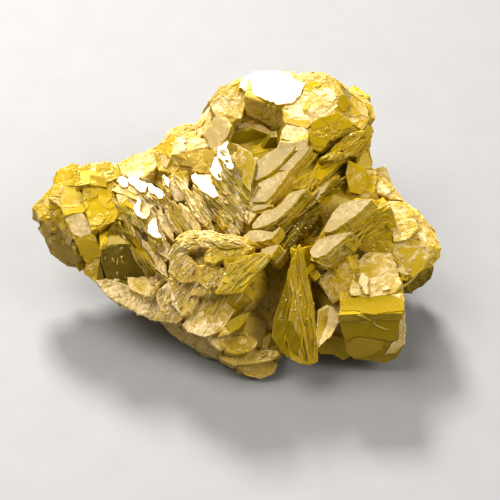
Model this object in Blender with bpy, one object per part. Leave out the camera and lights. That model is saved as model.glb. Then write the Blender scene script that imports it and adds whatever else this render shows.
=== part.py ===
"""A hand specimen of siderite: curved and blocky yellow-green crystals grown together round one heart.

The cluster is one solid. It lies on its broken underside, +Z up, with its origin in the middle of its
bounding box on the table. Its show face leans back: a place on that face is given in millimetres as
(across, up, out), where out points from the face straight at a viewer who looks down on it.
"""

import math
import random

import bmesh
import bpy
from mathutils import Matrix, Vector

# Driving dimensions, in millimetres and degrees.
MM = 0.001
FACE_LEAN = 45.0                 # the show face leans back this far from upright
FACE_CENTRE = (0.0, 0.0, 11.5)   # where (0, 0, 0) of the face lies above the table
SPECIMEN_SHIFT = (2.07, -5.84)   # brings the middle of the bounding box to the origin
TABLE_BLOCK = 80.0               # side of the block that trims the foot flat
FOOT_CUT = 0.0                   # height of the flat broken foot
RHOMB_SKEW = 0.3                 # how far a rhombohedron's edges lean from square, as a slope

SIDERITE = (0.52, 0.42, 0.05, 1.0)
NODE = "siderite_cluster"

lean = math.radians(FACE_LEAN)
FACE_UP = Vector((0.0, math.sin(lean), math.cos(lean)))
FACE_OUT = Vector((0.0, -math.cos(lean), math.sin(lean)))
FACE_ACROSS = Vector((1.0, 0.0, 0.0))


def face_direction(across, up, out):
    """A direction given on the show face, in the specimen's own axes."""
    return across * FACE_ACROSS + up * FACE_UP + out * FACE_OUT


def on_face(across, up, out):
    """A place given on the show face, in millimetres, as a point of the specimen."""
    shift = Vector((SPECIMEN_SHIFT[0], SPECIMEN_SHIFT[1], 0.0))
    return Vector(FACE_CENTRE) + shift + face_direction(across, up, out)


def facing(turn, tip):
    """The normal, in face axes, of a crystal face turned to the right and tipped up by these angles."""
    turn, tip = math.radians(turn), math.radians(tip)
    return Vector((math.sin(turn) * math.cos(tip), math.sin(tip), math.cos(turn) * math.cos(tip)))


# ---------------------------------------------------------------- crystals


def new_piece(name, body, pieces):
    """Turns a bmesh in millimetres into an object in metres, in the collection of pieces to join."""
    bmesh.ops.recalc_face_normals(body, faces=body.faces)
    body.transform(Matrix.Scale(MM, 4))
    mesh = bpy.data.meshes.new(name)
    body.to_mesh(mesh)
    body.free()
    piece = bpy.data.objects.new(name, mesh)
    pieces.objects.link(piece)
    return piece


def tablet(pieces, name, outline, out, face, depth, along=None, taper=0.0):
    """A flat-faced crystal: its outline on the show face lies in the plane of its own face, and is drawn
    back by depth, along a direction or straight in, with its far end smaller by the taper."""
    normal = facing(*face)
    middle = Vector((sum(p[0] for p in outline), sum(p[1] for p in outline))) / len(outline)
    back = (-normal if along is None else Vector(along).normalized()) * depth
    front_points, back_points = [], []
    for across, up in outline:
        rise = -(normal.x * (across - middle.x) + normal.y * (up - middle.y)) / normal.z
        front = Vector((across, up, out + rise))
        inward = Vector((middle.x, middle.y, out)) - front
        front_points.append(on_face(*front))
        back_points.append(on_face(*(front + back + inward * taper)))
    body = bmesh.new()
    front_ring = [body.verts.new(p) for p in front_points]
    back_ring = [body.verts.new(p) for p in back_points]
    body.faces.new(front_ring)
    body.faces.new(back_ring[::-1])
    count = len(outline)
    for i in range(count):
        j = (i + 1) % count
        body.faces.new((front_ring[i], back_ring[i], back_ring[j], front_ring[j]))
    return new_piece(name, body, pieces)


def leaf_outline(tip, heel, width, points=4, belly=0.5):
    """The outline of a lens-shaped blade between two tips, its widest place a share belly of the way."""
    tip, heel = Vector(tip), Vector(heel)
    run = heel - tip
    side = Vector((-run.y, run.x)).normalized()
    shares = [(i + 1) / (points + 1) for i in range(points)]
    bend = math.log(0.5) / math.log(belly)
    swell = [math.sin(math.pi * s ** bend) for s in shares]
    left = [tip + run * s + side * (width / 2 * w) for s, w in zip(shares, swell)]
    right = [tip + run * s - side * (width / 2 * w) for s, w in zip(shares, swell)]
    return [tuple(p) for p in [tip, *left, heel, *right[::-1]]]


def spread(count):
    """Directions spread evenly over a ball, as unit vectors."""
    golden = math.pi * (3 - math.sqrt(5))
    for i in range(count):
        height = 1 - 2 * (i + 0.5) / count
        ring = math.sqrt(1 - height * height)
        yield Vector((ring * math.cos(golden * i), ring * math.sin(golden * i), height))


def lump(pieces, name, centre, radii, seed, corners):
    """A faceted lump: the hull of points scattered evenly over an ellipsoid and jittered."""
    dice = random.Random(seed)
    body = bmesh.new()
    for spoke in spread(corners):
        reach = dice.uniform(0.9, 1.06)
        body.verts.new(on_face(*(Vector(centre) + Vector([s * r * reach for s, r in zip(spoke, radii)]))))
    hull = bmesh.ops.convex_hull(body, input=body.verts)
    loose = [v for v in hull["geom_interior"] if isinstance(v, bmesh.types.BMVert)]
    bmesh.ops.delete(body, geom=loose, context="VERTS")
    return new_piece(name, body, pieces)


def rhomb(pieces, name, spot, outward, dice):
    """A blunt rhombohedron at a spot of the face axes, one of its faces turned roughly outward."""
    tilt = Vector([dice.uniform(-0.45, 0.45) for _ in range(3)])
    top = (outward + tilt).normalized()
    first = top.orthogonal().normalized()
    first.rotate(Matrix.Rotation(dice.uniform(0, 2 * math.pi), 3, top))
    second = top.cross(first) + first * RHOMB_SKEW
    edges = (first * dice.uniform(1.4, 2.6), second * dice.uniform(1.2, 2.2), (top + first * RHOMB_SKEW) * 2.0)
    body = bmesh.new()
    corners = [[[body.verts.new(on_face(*(spot + edges[0] * i + edges[1] * j + edges[2] * k)))
                 for k in (-1, 1)] for j in (-1, 1)] for i in (-1, 1)]
    bmesh.ops.convex_hull(body, input=[v for plane in corners for row in plane for v in row])
    return new_piece(name, body, pieces)


# ---------------------------------------------------------------- the body of the specimen


# The rough lumps that the crystals grow from: name, centre and radii on the show face, corners, and how
# many blunt rhombs are spread over it (only those on its hidden side are made).
CORE = (
    ("heart", (3, 3, -6), (16.5, 14.5, 9), 40, 0),
    ("arm_core", (-18, 3.2, -3.6), (10.5, 6.6, 4.6), 26, 26),
    ("arm_tip", (-25, 4.5, -3.4), (4.6, 5.2, 3.4), 22, 14),
    ("crown_left", (-0.5, 19.5, -11), (6.5, 5, 5), 26, 16),
    ("crown_right", (10.5, 17.5, -8), (7.4, 7.4, 6.8), 32, 22),
    ("right_core", (17.4, 0.6, -2.5), (8.2, 6.6, 6.6), 32, 24),
    ("ridge", (16, 8, -4.5), (3.8, 4.2, 5), 22, 10),
    ("shoulder", (-8.5, 11.5, -6.5), (7, 5.6, 5.5), 26, 16),
    ("front_lump", (-4.5, -4.5, 1.6), (7.6, 6, 6.8), 32, 0),
    ("front_low", (-2.5, -11.5, 0), (5.5, 4.6, 5), 26, 0),
    ("left_apron", (-13.5, -5.6, -1.6), (6.2, 3.8, 3.6), 26, 12),
    ("block_core", (14.5, -8, -0.5), (6.2, 6, 6), 26, 0),
    ("tip_core", (1.2, -13.8, -0.2), (4, 3.2, 3.4), 20, 0),
    ("foot", (3.2, -6.5, -7.3), (15.5, 8.6, 10.2), 36, 26),
    ("back", (4, 6.7, -10.2), (14, 8.2, 9), 36, 30),
)
CRUST_HIDDEN = -0.3              # a rhomb of the crust is made where its outward direction leans back past this
CRUST_DEPTH = 1.5                # how deep the middle of a rhomb of the crust lies in its lump, in millimetres


def core(pieces):
    """The lumps, one by one."""
    for seed, (name, centre, radii, corners, _) in enumerate(CORE, 1):
        lump(pieces, name, centre, radii, seed, corners)


def crust(pieces):
    """Blunt rhombs over the back and the underside, where the cluster broke away from its rock."""
    dice = random.Random(23)
    for name, centre, radii, _, count in CORE:
        for i, spoke in enumerate(spread(count)):
            spot = Vector(centre) + Vector([s * r for s, r in zip(spoke, radii)])
            outward = Vector([s / r for s, r in zip(spoke, radii)]).normalized()
            if outward.z < CRUST_HIDDEN:
                rhomb(pieces, f"{name}_rhomb_{i}", spot - outward * CRUST_DEPTH, outward, dice)


def arm(pieces):
    """The arm that reaches out to the left: blocky rhombs in rows, with one large clear one at its root."""
    t = tablet
    t(pieces, "arm_end", [(-30.1, 6.2), (-29.5, 7.1), (-28.2, 7.4), (-27, 5.4), (-27.6, 4.4), (-29.7, 4.3)],
      -2.2, (-20, 25), 4)
    t(pieces, "arm_under", [(-29.8, 4.4), (-27.6, 4.7), (-25.2, 2.2), (-24.4, 0), (-23.4, -2.7), (-25.8, -2.2),
                            (-28.1, -0.5), (-29.2, 2.4)], -2.6, (-30, -30), 5)
    t(pieces, "arm_knob", [(-28.1, 5.2), (-26.6, 6.6), (-25.6, 3.6), (-24.8, 1.9), (-26.5, 2.9), (-27.9, 4.5)],
      -0.8, (-10, 5), 4)
    t(pieces, "arm_top_left", [(-27.7, 10), (-27.1, 11.2), (-25.2, 12.1), (-24.1, 11.9), (-24.2, 9), (-27.4, 9.1)],
      -2.6, (-12, 40), 5)
    t(pieces, "arm_top_bar", [(-24.3, 11.7), (-22.4, 12.2), (-20.3, 12.4), (-18.4, 12), (-18.2, 10), (-21, 9.2),
                              (-24.3, 8.9)], -2.4, (5, 45), 5)
    t(pieces, "arm_step", [(-28.2, 7.3), (-27.5, 9), (-24.2, 9.1), (-23.5, 7.3), (-23.4, 6.2), (-26.6, 6.1)],
      -0.7, (-4, 22), 5)
    t(pieces, "arm_pale", [(-26, 4.6), (-23.4, 5.2), (-22.1, 2.4), (-24.7, 1.6)], 0.7, (-8, -4), 5)
    t(pieces, "arm_strip", [(-26.3, 6.1), (-23.6, 6.4), (-23.3, 5.3), (-26, 4.7)], 0.5, (-5, 30), 4)
    t(pieces, "arm_column", [(-23.4, 7), (-20.6, 7.4), (-18.4, 5.4), (-18.9, 4), (-21.3, 3), (-22.1, 2.8)],
      1.0, (4, 26), 6)
    t(pieces, "arm_shelf", [(-23.4, 9), (-18.6, 9.6), (-18.2, 7.4), (-20.6, 7.2), (-23.3, 6.9)],
      -0.6, (8, 30), 6)
    t(pieces, "arm_stair", [(-24.6, 1.7), (-22, 2.3), (-20.8, -0.2), (-21, -1.6), (-22.8, -2), (-23.7, -0.6)],
      0.5, (-14, -14), 4)
    t(pieces, "arm_stair_low", [(-22.8, -1.8), (-21, -1.6), (-20.4, -4.2), (-21.6, -4.6), (-23.3, -3)],
      0.0, (-20, -10), 3)
    t(pieces, "rhomb_top", [(-20.4, 0.5), (-19.8, 2.2), (-18.8, 3.9), (-17.5, 2.7), (-16.7, 0.9), (-18.3, 0.6)],
      2.2, (0, -6), 6)
    t(pieces, "rhomb_face", [(-20.7, 0), (-18.3, 0.7), (-16.7, 1), (-15.6, -0.5), (-14.2, -4.3), (-17.5, -4.2),
                             (-20, -4), (-20.6, -2)], 2.6, (6, -34), 6)
    t(pieces, "rhomb_side", [(-17, 2.4), (-16.6, 1), (-15.5, -0.5), (-14.2, -4.3), (-13.2, -4.6), (-14.6, -0.6),
                             (-16, 1.8)], 2.6, (35, -10), 5)


def left_apron(pieces):
    """The pale scaly crystals below the arm, and the fibrous band that runs from them to the front."""
    t = tablet
    t(pieces, "apron_scales", [(-21.6, -4.3), (-19.8, -4), (-17.1, -4.3), (-16.6, -5.8), (-17.6, -7.2),
                               (-18.6, -7.3), (-20.2, -6)], 1.2, (-5, 8), 4)
    t(pieces, "apron_plate", [(-17.1, -3.8), (-15.4, -4), (-13.8, -4.8), (-13.1, -5.6), (-13.7, -6.3),
                              (-15, -6.2), (-16.8, -5.4)], 2.8, (-8, 34), 3)
    t(pieces, "apron_band", [(-18.4, -7.2), (-16.4, -5.8), (-13.2, -6.2), (-12.2, -8), (-13, -9.9), (-15.4, -8.9)],
      2.0, (-6, -4), 4)
    t(pieces, "apron_fibre_a", [(-13.2, -6), (-11.2, -4.4), (-9.6, -5.2), (-10.4, -8.2), (-12.3, -8.8)],
      3.8, (-12, 4), 5)
    t(pieces, "apron_fibre_b", [(-12.8, -9.8), (-11.9, -7.2), (-9.8, -6.2), (-8.7, -9.4), (-10.2, -10.1)],
      4.2, (-8, -14), 5)


def crest(pieces):
    """The crest from the arm up to the crown: a pale broken edge, golden rhombs, and bright level faces."""
    t = tablet
    t(pieces, "crest_rim_a", [(-18.5, 12.1), (-16.6, 13.3), (-14.8, 13.8), (-13, 14.7), (-12.5, 12.4),
                              (-14.9, 10.2), (-17.8, 10.3)], -3.2, (-6, 44), 4)
    t(pieces, "crest_bright", [(-18.7, 9.8), (-18.1, 8.6), (-15.3, 7.7), (-12.5, 6.9), (-11.8, 7.6), (-13.6, 9),
                               (-15, 9.6), (-17, 9.9)], 0.2, (-5, 46), 3)
    t(pieces, "crest_rim_b", [(-12.3, 15), (-11.4, 17), (-10, 17.6), (-8.3, 17.9), (-7.1, 17.7), (-7.4, 15.5),
                              (-9.6, 14.6), (-11, 14.2)], -5.4, (-6, 44), 5)
    t(pieces, "crest_gold_a", [(-13.2, 13.4), (-11.5, 14.2), (-9.4, 12.1), (-10.6, 10.8), (-12.8, 11.4)],
      -2.4, (-10, 26), 5)
    t(pieces, "crest_gold_b", [(-11, 14.4), (-9, 15), (-7.4, 14), (-8, 12), (-9.3, 11.8)], -3.0, (-5, 30), 5)
    t(pieces, "crest_tan", [(-8.3, 13.8), (-6, 14), (-5.3, 12.4), (-5.6, 10.8), (-8.1, 10.9)], -1.4, (-14, 16), 5)
    t(pieces, "crest_kite", [(-6.5, 16.4), (-4.5, 18.8), (-2.5, 17.6), (-5.2, 13.6)], -2.6, (-14, 30), 4)
    t(pieces, "crest_back", [(-7.6, 17.8), (-5.4, 20.8), (-3.8, 19.4), (-5.6, 17.2), (-7.2, 15.6)],
      -5.2, (-10, 34), 5)
    t(pieces, "crest_glint", [(-12.3, 10.4), (-11.2, 9.6), (-11.3, 8.1), (-12.1, 8.8)], 0.4, (-5, 46), 2)
    t(pieces, "crest_gap", [(-10.8, 10.8), (-9, 11), (-8.6, 9.2), (-9.3, 7), (-10.4, 6.8), (-11.2, 9)],
      0.2, (10, 12), 4)


def left_fan(pieces):
    """Thin blades stacked like feather barbs, that run down to the right to the keel of the fan."""
    t = tablet
    t(pieces, "barb_bright_top", [(-4.8, 14), (-3.6, 15.3), (-3, 15.2), (-3.1, 13.4), (-2.1, 11.2), (-3.3, 11.1),
                                  (-4.4, 12.7)], -0.2, (-5, 46), 3)
    t(pieces, "barb_bright_low", [(-5.5, 11), (-4.9, 13.4), (-4.4, 12.7), (-3.3, 11.1), (-3.8, 9.2), (-5, 9.8)],
      0.6, (-5, 46), 3)
    t(pieces, "barb_broad", [(-3, 15.1), (-1, 14.3), (0.5, 13.3), (0.9, 11.4), (0.7, 10.2), (0.1, 8.4),
                             (-2, 11), (-2.9, 13.2)], -0.2, (14, 24), 4)
    t(pieces, "barb_glossy", [(-8, 10.5), (-5.6, 10.5), (-4.5, 8.6), (-4.6, 6.9), (-5.7, 7.2), (-7.9, 9)],
      1.2, (-5, 45), 3)
    keel = [(0.3, 8.0), (0.1, 7.2), (-0.1, 6.5), (-0.4, 5.7), (-0.6, 4.9), (-0.8, 4.0), (-1.0, 3.0), (-1.4, 2.1),
            (-1.9, 1.2)]
    for i, heel in enumerate(keel):
        share = i / (len(keel) - 1)
        heading = math.radians(129 - 12 * share)
        length = 5.0 + 1.6 * math.sin(math.pi * share)
        tip = (heel[0] + length * math.cos(heading), heel[1] + length * math.sin(heading))
        t(pieces, f"left_barb_{i}", leaf_outline(tip, heel, 1.5, 3), 1.2 + 2.6 * share, (16, 18 - 6 * share), 3)
    far_barbs = [((-9.2, 8.6), (-5.2, 4.6), 1.7, 2.0), ((-8.6, 7.2), (-5, 2.6), 1.5, 2.6),
                 ((-9.8, 6.6), (-6.6, 2), 1.4, 2.6), ((-10.8, 6.8), (-8, 1.9), 1.4, 2.4),
                 ((-11.8, 6.4), (-9.4, 2), 1.4, 2.2), ((-12.8, 5.6), (-10.6, 1.2), 1.4, 2.1),
                 ((-15, 7), (-11.6, 0.6), 1.6, 1.9), ((-17.4, 6.6), (-13.4, 2.2), 2.0, 1.3),
                 ((-18.6, 7.8), (-14.6, 4), 2.2, 1.0), ((-17.6, 4.2), (-14.4, -1.6), 2.0, 1.8),
                 ((-15.2, 1.6), (-11.4, -4), 2.2, 2.6), ((-13.6, 2.2), (-10.4, -1.6), 1.8, 2.8)]
    for i, (tip, heel, width, out) in enumerate(far_barbs):
        t(pieces, f"far_barb_{i}", leaf_outline(tip, heel, width, 3), out, (12, 18), 3)
    for name, outline in (
            ("glint_a", [(-16.2, 5.2), (-15.5, 6.9), (-14.8, 7.1), (-15.2, 5.8), (-14.5, 4), (-15.3, 4.1)]),
            ("glint_b", [(-14.1, 2), (-13.7, 4.6), (-13.2, 4.3), (-12.8, 2.6), (-12.1, 1.2), (-13.2, 1.1)])):
        t(pieces, name, outline, 2.6, (-5, 46), 2)


def right_fan(pieces):
    """The broad glossy blades right of the keel, each resting on the one below it, with golden edges."""
    t = tablet
    down_right = (0.45, -0.55, -0.7)
    t(pieces, "vane_a", [(0.9, 11.4), (2.5, 13.4), (4, 14.2), (6.3, 14.4), (5, 12.5), (3.9, 11.1), (2.3, 10),
                         (0.7, 9.6), (1.2, 10.6)], 1.0, (-14, 22), 3, down_right)
    t(pieces, "vane_b", [(3.9, 11), (6.8, 14.3), (8.3, 14.2), (7.2, 12.6), (5.6, 10.8), (4.5, 10.7)],
      1.3, (-14, 22), 3, down_right)
    t(pieces, "vane_c", [(0.4, 6.9), (1.4, 9.4), (3.8, 10.8), (5.7, 10.9), (4.6, 9.4), (3.6, 8), (2.7, 6.3),
                         (1.1, 6.5), (0.3, 6.4)], 2.4, (-14, 22), 3, down_right)
    t(pieces, "vane_d", [(0.1, 5.8), (1.2, 6.3), (3, 6.1), (1.9, 5.2), (0.6, 5.1)], 3.0, (-14, 22), 2.5,
      down_right)
    t(pieces, "vane_e", [(-0.8, 5.4), (0.9, 5), (0.3, 4), (-0.6, 3.7)], 3.2, (-14, 22), 2, down_right)
    t(pieces, "vane_f", [(0.3, 3), (1.3, 4.6), (3.5, 5.6), (5.4, 7.7), (7.9, 8.5), (7, 7.2), (5.5, 5.6),
                         (4.1, 4), (2.3, 3.2), (1, 2.9)], 4.4, (-14, 22), 3.4, down_right)
    t(pieces, "vane_g", [(-1.5, 1), (0, 2.6), (1.4, 2.7), (3, 2.4), (4.2, 3), (3, 1.6), (2, 0.9), (0, 1)],
      5.4, (-12, 24), 3, down_right)
    t(pieces, "vane_h", [(1.5, 0), (4.1, 0.6), (3, -0.9), (2, -0.7)], 7.0, (-12, 24), 3, down_right)
    t(pieces, "gold_bar_a", leaf_outline((3.2, 7), (9.6, 13.6), 1.6, 3), 0.8, (20, 0), 4)
    t(pieces, "gold_bar_b", leaf_outline((4.2, 6.8), (11.6, 13), 2.0, 3), 0.2, (10, 16), 4)
    t(pieces, "gold_bar_c", leaf_outline((6, 8.4), (13.4, 12.6), 2.2, 3), 0.4, (12, 18), 4)
    t(pieces, "gold_bar_d", leaf_outline((7.2, 5.4), (12.6, 10.4), 1.6, 3), 1.0, (20, 0), 4)
    t(pieces, "small_vane", leaf_outline((8.9, 6.7), (11.1, 9.2), 1.0, 3), 1.9, (-12, 22), 2)
    t(pieces, "dark_vane_a", leaf_outline((5, 3.4), (12.6, 8.6), 1.8, 3), 1.6, (18, -8), 4)
    t(pieces, "dark_vane_b", leaf_outline((4.4, 0.4), (10.4, 6.4), 1.8, 3), 2.8, (18, -8), 4)
    t(pieces, "dark_vane_c", leaf_outline((3.2, -2.4), (7.2, 3.4), 1.6, 3), 4.4, (18, -8), 4)


def petals(pieces):
    """Two large curved blades on the right, glossy on top and layered along their lower edge."""
    t = tablet
    down_right = (0.5, -0.6, -0.62)
    t(pieces, "petal_body", [(8.6, 0.4), (10.6, 3.6), (12.6, 6.2), (14.4, 7), (17, 7), (19.4, 6.4), (18.4, 4.6),
                             (16.4, 2.8), (14, 1.2), (11.6, -0.6), (9.6, -1.4)], 4.8, (0, 12), 4)
    t(pieces, "petal_top", [(10.2, 2.2), (11, 4.1), (12.3, 5.9), (13.6, 6.6), (16, 6.9), (15.5, 5.8), (14.2, 4.6),
                            (12.6, 3.3), (11.2, 2.3)], 6.3, (-14, 22), 2.4, down_right)
    t(pieces, "petal_low", [(8.3, -0.2), (9, 0.7), (10.2, 1.6), (12, 2), (14.2, 2.3), (13, 1), (11.8, 0),
                            (10.3, -1.1), (9, -1.2)], 7.2, (-14, 22), 2.4, down_right)
    t(pieces, "petal_hem_a", leaf_outline((11.6, 1.6), (19.2, 6.4), 1.5, 4), 5.6, (20, -6), 3)
    t(pieces, "petal_hem_b", leaf_outline((8.8, -1.6), (16.2, 3.6), 1.4, 4), 6.2, (22, -8), 3)
    t(pieces, "petal_hem_c", leaf_outline((8.2, -2.4), (15.8, 2.2), 1.4, 4), 5.2, (22, -10), 3)
    t(pieces, "petal_root", [(6.3, 0.6), (7.6, 0), (8.6, -1.8), (9.8, -3.6), (9, -4.3), (8, -3.2), (7, -1.6)],
      5.6, (10, 0), 4)


def crown(pieces):
    """The mound at the top right: a level bright top over a dark hollow, with golden blocks beside it."""
    t = tablet
    t(pieces, "crown_bright", [(-1, 23.2), (0, 24.9), (3, 25.5), (6.2, 25.3), (7.2, 23), (6.8, 21.9), (4.6, 19.9),
                               (2.8, 20.6), (1.4, 21.2), (-0.5, 21.7)], -6.0, (-4, 46), 4)
    t(pieces, "crown_left_wall", [(-5.6, 20.4), (-4.2, 22.2), (-2.6, 23.4), (-0.8, 24.2), (-0.6, 20.6),
                                  (-1.4, 18.6), (-3, 17.7), (-4.6, 18.7)], -5.6, (6, 28), 5)
    t(pieces, "crown_rim_left", [(-4.4, 21.8), (-2.2, 24.2), (0, 24.9), (0.4, 23.4), (-1.6, 22.4)],
      -7.6, (-10, 46), 4)
    t(pieces, "hollow_lintel", [(-0.7, 21.7), (1.6, 21), (4.6, 19.9), (5.1, 18.2), (4.9, 17.5), (4, 16.7),
                                (2.9, 17.6), (1.4, 18.4), (-0.5, 19.2)], -5.6, (-8, -38), 4)
    t(pieces, "hollow_ledge", [(-1.4, 17.6), (0, 18.6), (1.8, 17.9), (3, 16.5), (1, 16.8), (-1.2, 16.8)],
      -6.6, (10, 44), 4)
    t(pieces, "hollow_face", [(-3, 15.9), (-2.2, 16.5), (0, 17), (2.7, 16.3), (1.6, 14.8), (0.3, 13.2), (-2.1, 15)],
      -4.8, (14, -14), 4)
    t(pieces, "door_block_top", [(4.2, 15.2), (4.7, 17.1), (6, 17.4), (8.4, 16.7), (8.1, 15.6), (6, 15)],
      0.0, (0, 42), 5)
    t(pieces, "door_block_front", [(3.7, 13.9), (4.2, 15.3), (6, 15.1), (8.1, 15.7), (8, 14.1), (5.6, 14.4)],
      0.8, (-4, -24), 5)
    t(pieces, "crown_gold", [(8.1, 14.2), (8.3, 16.9), (9.5, 18.4), (12.2, 19), (13.6, 17.8), (12.8, 16.2),
                             (11, 15.2), (9.8, 13.8)], 0.2, (-2, 8), 5)
    t(pieces, "crown_pale", [(4.6, 19.9), (6.8, 21.9), (8.2, 22.3), (9, 21), (10.6, 20.6), (11.8, 19.2), (9.6, 18.2),
                             (7, 17.4), (5, 17.7)], -2.6, (0, 34), 5)
    t(pieces, "crown_top_gold", [(7.2, 23), (8.3, 24.8), (10.4, 25), (12.2, 24), (13.2, 22), (11.4, 20.6),
                                 (9, 21), (8.1, 22.3)], -5.0, (6, 42), 5)
    t(pieces, "crown_rim_mid", [(5.6, 24.7), (8.6, 25.3), (10.6, 25.2), (12.8, 23.9), (10, 23.4), (7, 23.6)],
      -7.6, (2, 46), 4)
    t(pieces, "crown_window", [(12.2, 21.6), (13, 22), (14.1, 20.9), (13.9, 19.8), (13, 19.1), (12.3, 19.9)],
      -2.6, (14, 4), 4)
    t(pieces, "crown_rim_right", [(12.6, 23.8), (14.6, 22.6), (16.2, 21.8), (17.4, 20.2), (17.6, 18.6), (16.4, 18.4),
                                  (15.4, 20.2), (14, 21.2), (12.6, 22.4)], -5.4, (18, 34), 5)
    t(pieces, "crown_cream", [(13, 18.8), (14, 20.4), (15.4, 20.4), (16.8, 18.6), (15.8, 16.9), (14, 17.8)],
      -2.4, (12, 18), 5)
    t(pieces, "crown_side", [(12.8, 17.6), (15.9, 17.2), (17.2, 17.4), (17, 14.6), (15, 13.2), (13.2, 13.4)],
      -2.2, (20, 4), 5)
    t(pieces, "crown_streak_a", leaf_outline((11, 13.4), (16.2, 16.8), 1.5, 3), -0.6, (14, 0), 4)
    t(pieces, "crown_streak_b", leaf_outline((12.4, 12.6), (16.6, 15.6), 1.3, 3), -0.8, (18, -6), 4)
    t(pieces, "crown_spark", leaf_outline((9.6, 12.6), (13.2, 13.5), 0.9, 3), 1.2, (0, 20), 3)


def right_mass(pieces):
    """The broad mass at the right: frosted rough faces, a pale broken rim and a dark underside."""
    t = tablet
    t(pieces, "ridge_flat", [(13.8, 12.6), (16.2, 11.4), (16.6, 9), (15.5, 7.8), (14, 8.1), (13.4, 10.6)],
      -0.4, (-2, 4), 5)
    t(pieces, "ridge_edge", [(16.8, 14.6), (17.2, 12.4), (16.9, 11.2), (15, 12), (15, 14)], -4.0, (28, 10), 4)
    t(pieces, "ridge_rim", [(15.9, 11.1), (17.4, 11.1), (19, 9.9), (20.5, 8.5), (21.6, 6.9), (19.6, 7.2),
                            (17, 8.8)], -1.4, (12, 28), 5)
    t(pieces, "right_face", [(9.4, -4.3), (11, -2.6), (13.6, -0.8), (14.4, -3), (13.6, -5.9), (11.5, -7.4)],
      5.6, (-22, -4), 5)
    t(pieces, "right_shade", [(14.6, 0.6), (17, 4.4), (19.4, 6), (20.2, 3.6), (19.4, 0.6), (16.8, -0.6)],
      4.2, (10, -16), 5)
    t(pieces, "right_frost", [(13.8, -5.6), (14.2, -2), (17, 0), (19.6, -0.4), (20.9, -4.6), (20, -6), (16.5, -6.5),
                              (14, -6.3)], 6.0, (2, 34), 5)
    t(pieces, "right_glint", [(15, -4.9), (15.6, -3.7), (16.3, -3.7), (16.6, -4.9), (16.4, -6.2), (15.7, -6.1)],
      6.6, (-5, 46), 3)
    t(pieces, "right_upper", [(19.4, 6.8), (21.2, 6.6), (22.8, 5.4), (23.4, 3), (21.6, 1.4), (20, 1.2), (19.6, 4)],
      2.4, (8, 28), 6)
    t(pieces, "right_rim", [(22.4, 5.8), (24.6, 3.9), (26, 2.1), (26.6, 0.2), (25, 0), (23.4, 1.8), (22.4, 3.8)],
      0.4, (22, 26), 6)
    t(pieces, "right_gold", [(19.6, 0.4), (22, 1.5), (25, 0.8), (25.6, -0.6), (23.6, -2.6), (22, -4.4),
                             (20.8, -3.4)], 3.2, (14, 6), 6)
    t(pieces, "right_lip", [(25, 0.4), (26.6, 0.3), (26.4, -1.1), (25.4, -2.1), (23.8, -2.9), (22, -4.8),
                            (21.2, -5.2), (22, -3.8), (24, -1.8)], 2.2, (24, -4), 4)
    t(pieces, "right_under", [(21.1, -6), (22.6, -5.9), (24.3, -4.9), (25.3, -3.9), (25.7, -2.4), (24, -2.4),
                              (22, -4.4), (20.9, -5)], -0.4, (18, -36), 4)


def block(pieces):
    """The large rhomb at the lower right, with a bright upper face, two dark lower ones and split layers."""
    t = tablet
    straight_back = (0, math.sin(lean), -math.cos(lean))
    t(pieces, "block_upper", [(12.4, -9), (14.6, -8.7), (17, -8.9), (19, -8.6), (21.1, -8.8), (21.4, -11.4),
                              (20.4, -12.4), (17.4, -12.2), (14, -11.8), (13, -11.4)],
      7.6, (2, -40), 7, straight_back)
    t(pieces, "block_lower", [(13, -11.4), (14.6, -11.9), (17.6, -12.3), (21.2, -11.6), (21.4, -13), (20.4, -15),
                              (18.6, -15.8), (16.4, -15.3), (14.4, -15.1), (13.2, -13.8)],
      4.6, (2, -44), 7, straight_back)
    t(pieces, "block_plate", [(12.2, -8.9), (16, -8.7), (21, -8.7), (21.2, -7), (20.9, -6), (16.6, -6.5),
                              (13.2, -6.7)], 8.6, (2, 44), 1.2)
    t(pieces, "block_foot", [(9.3, -13.2), (10.6, -11.6), (13, -12.4), (14.6, -14.6), (13, -15.3), (11.4, -14.5),
                             (9.9, -14.5)], 3.2, (-4, -26), 5)
    t(pieces, "pale_wedge", [(9.4, -8.3), (10.6, -7.6), (11.6, -8), (12.5, -9.2), (11.8, -10.8), (9.4, -13.5),
                             (9.1, -11.5)], 6.4, (20, 18), 2.5)


def leaf(pieces):
    """The curved leaf that hangs in front, in long facets that turn about its ribs."""
    t = tablet
    t(pieces, "leaf_left", [(6.5, 0.2), (5.6, -2), (5, -4.4), (4.2, -7), (3.3, -9.5), (3.1, -12), (3.9, -13.3),
                            (5.3, -12.4), (5.6, -8.6), (6.4, -4.6)], 6.6, (-30, -6), 4)
    t(pieces, "leaf_mid", [(6.5, 0.3), (6.2, -4.4), (5.4, -8.6), (5.1, -12.6), (5.6, -14.9), (7, -15.7),
                           (7.4, -11.6), (7.5, -7.4), (7.2, -2.4)], 8.2, (-6, -8), 4)
    t(pieces, "leaf_right", [(7, -0.2), (7.4, -7.2), (7.3, -11.6), (7, -15.7), (8.2, -15.9), (9.3, -15.4),
                             (9.4, -13.5), (9.1, -11), (8.8, -8), (8.2, -5), (7.7, -2.5)], 7.8, (20, -8), 4)


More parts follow.
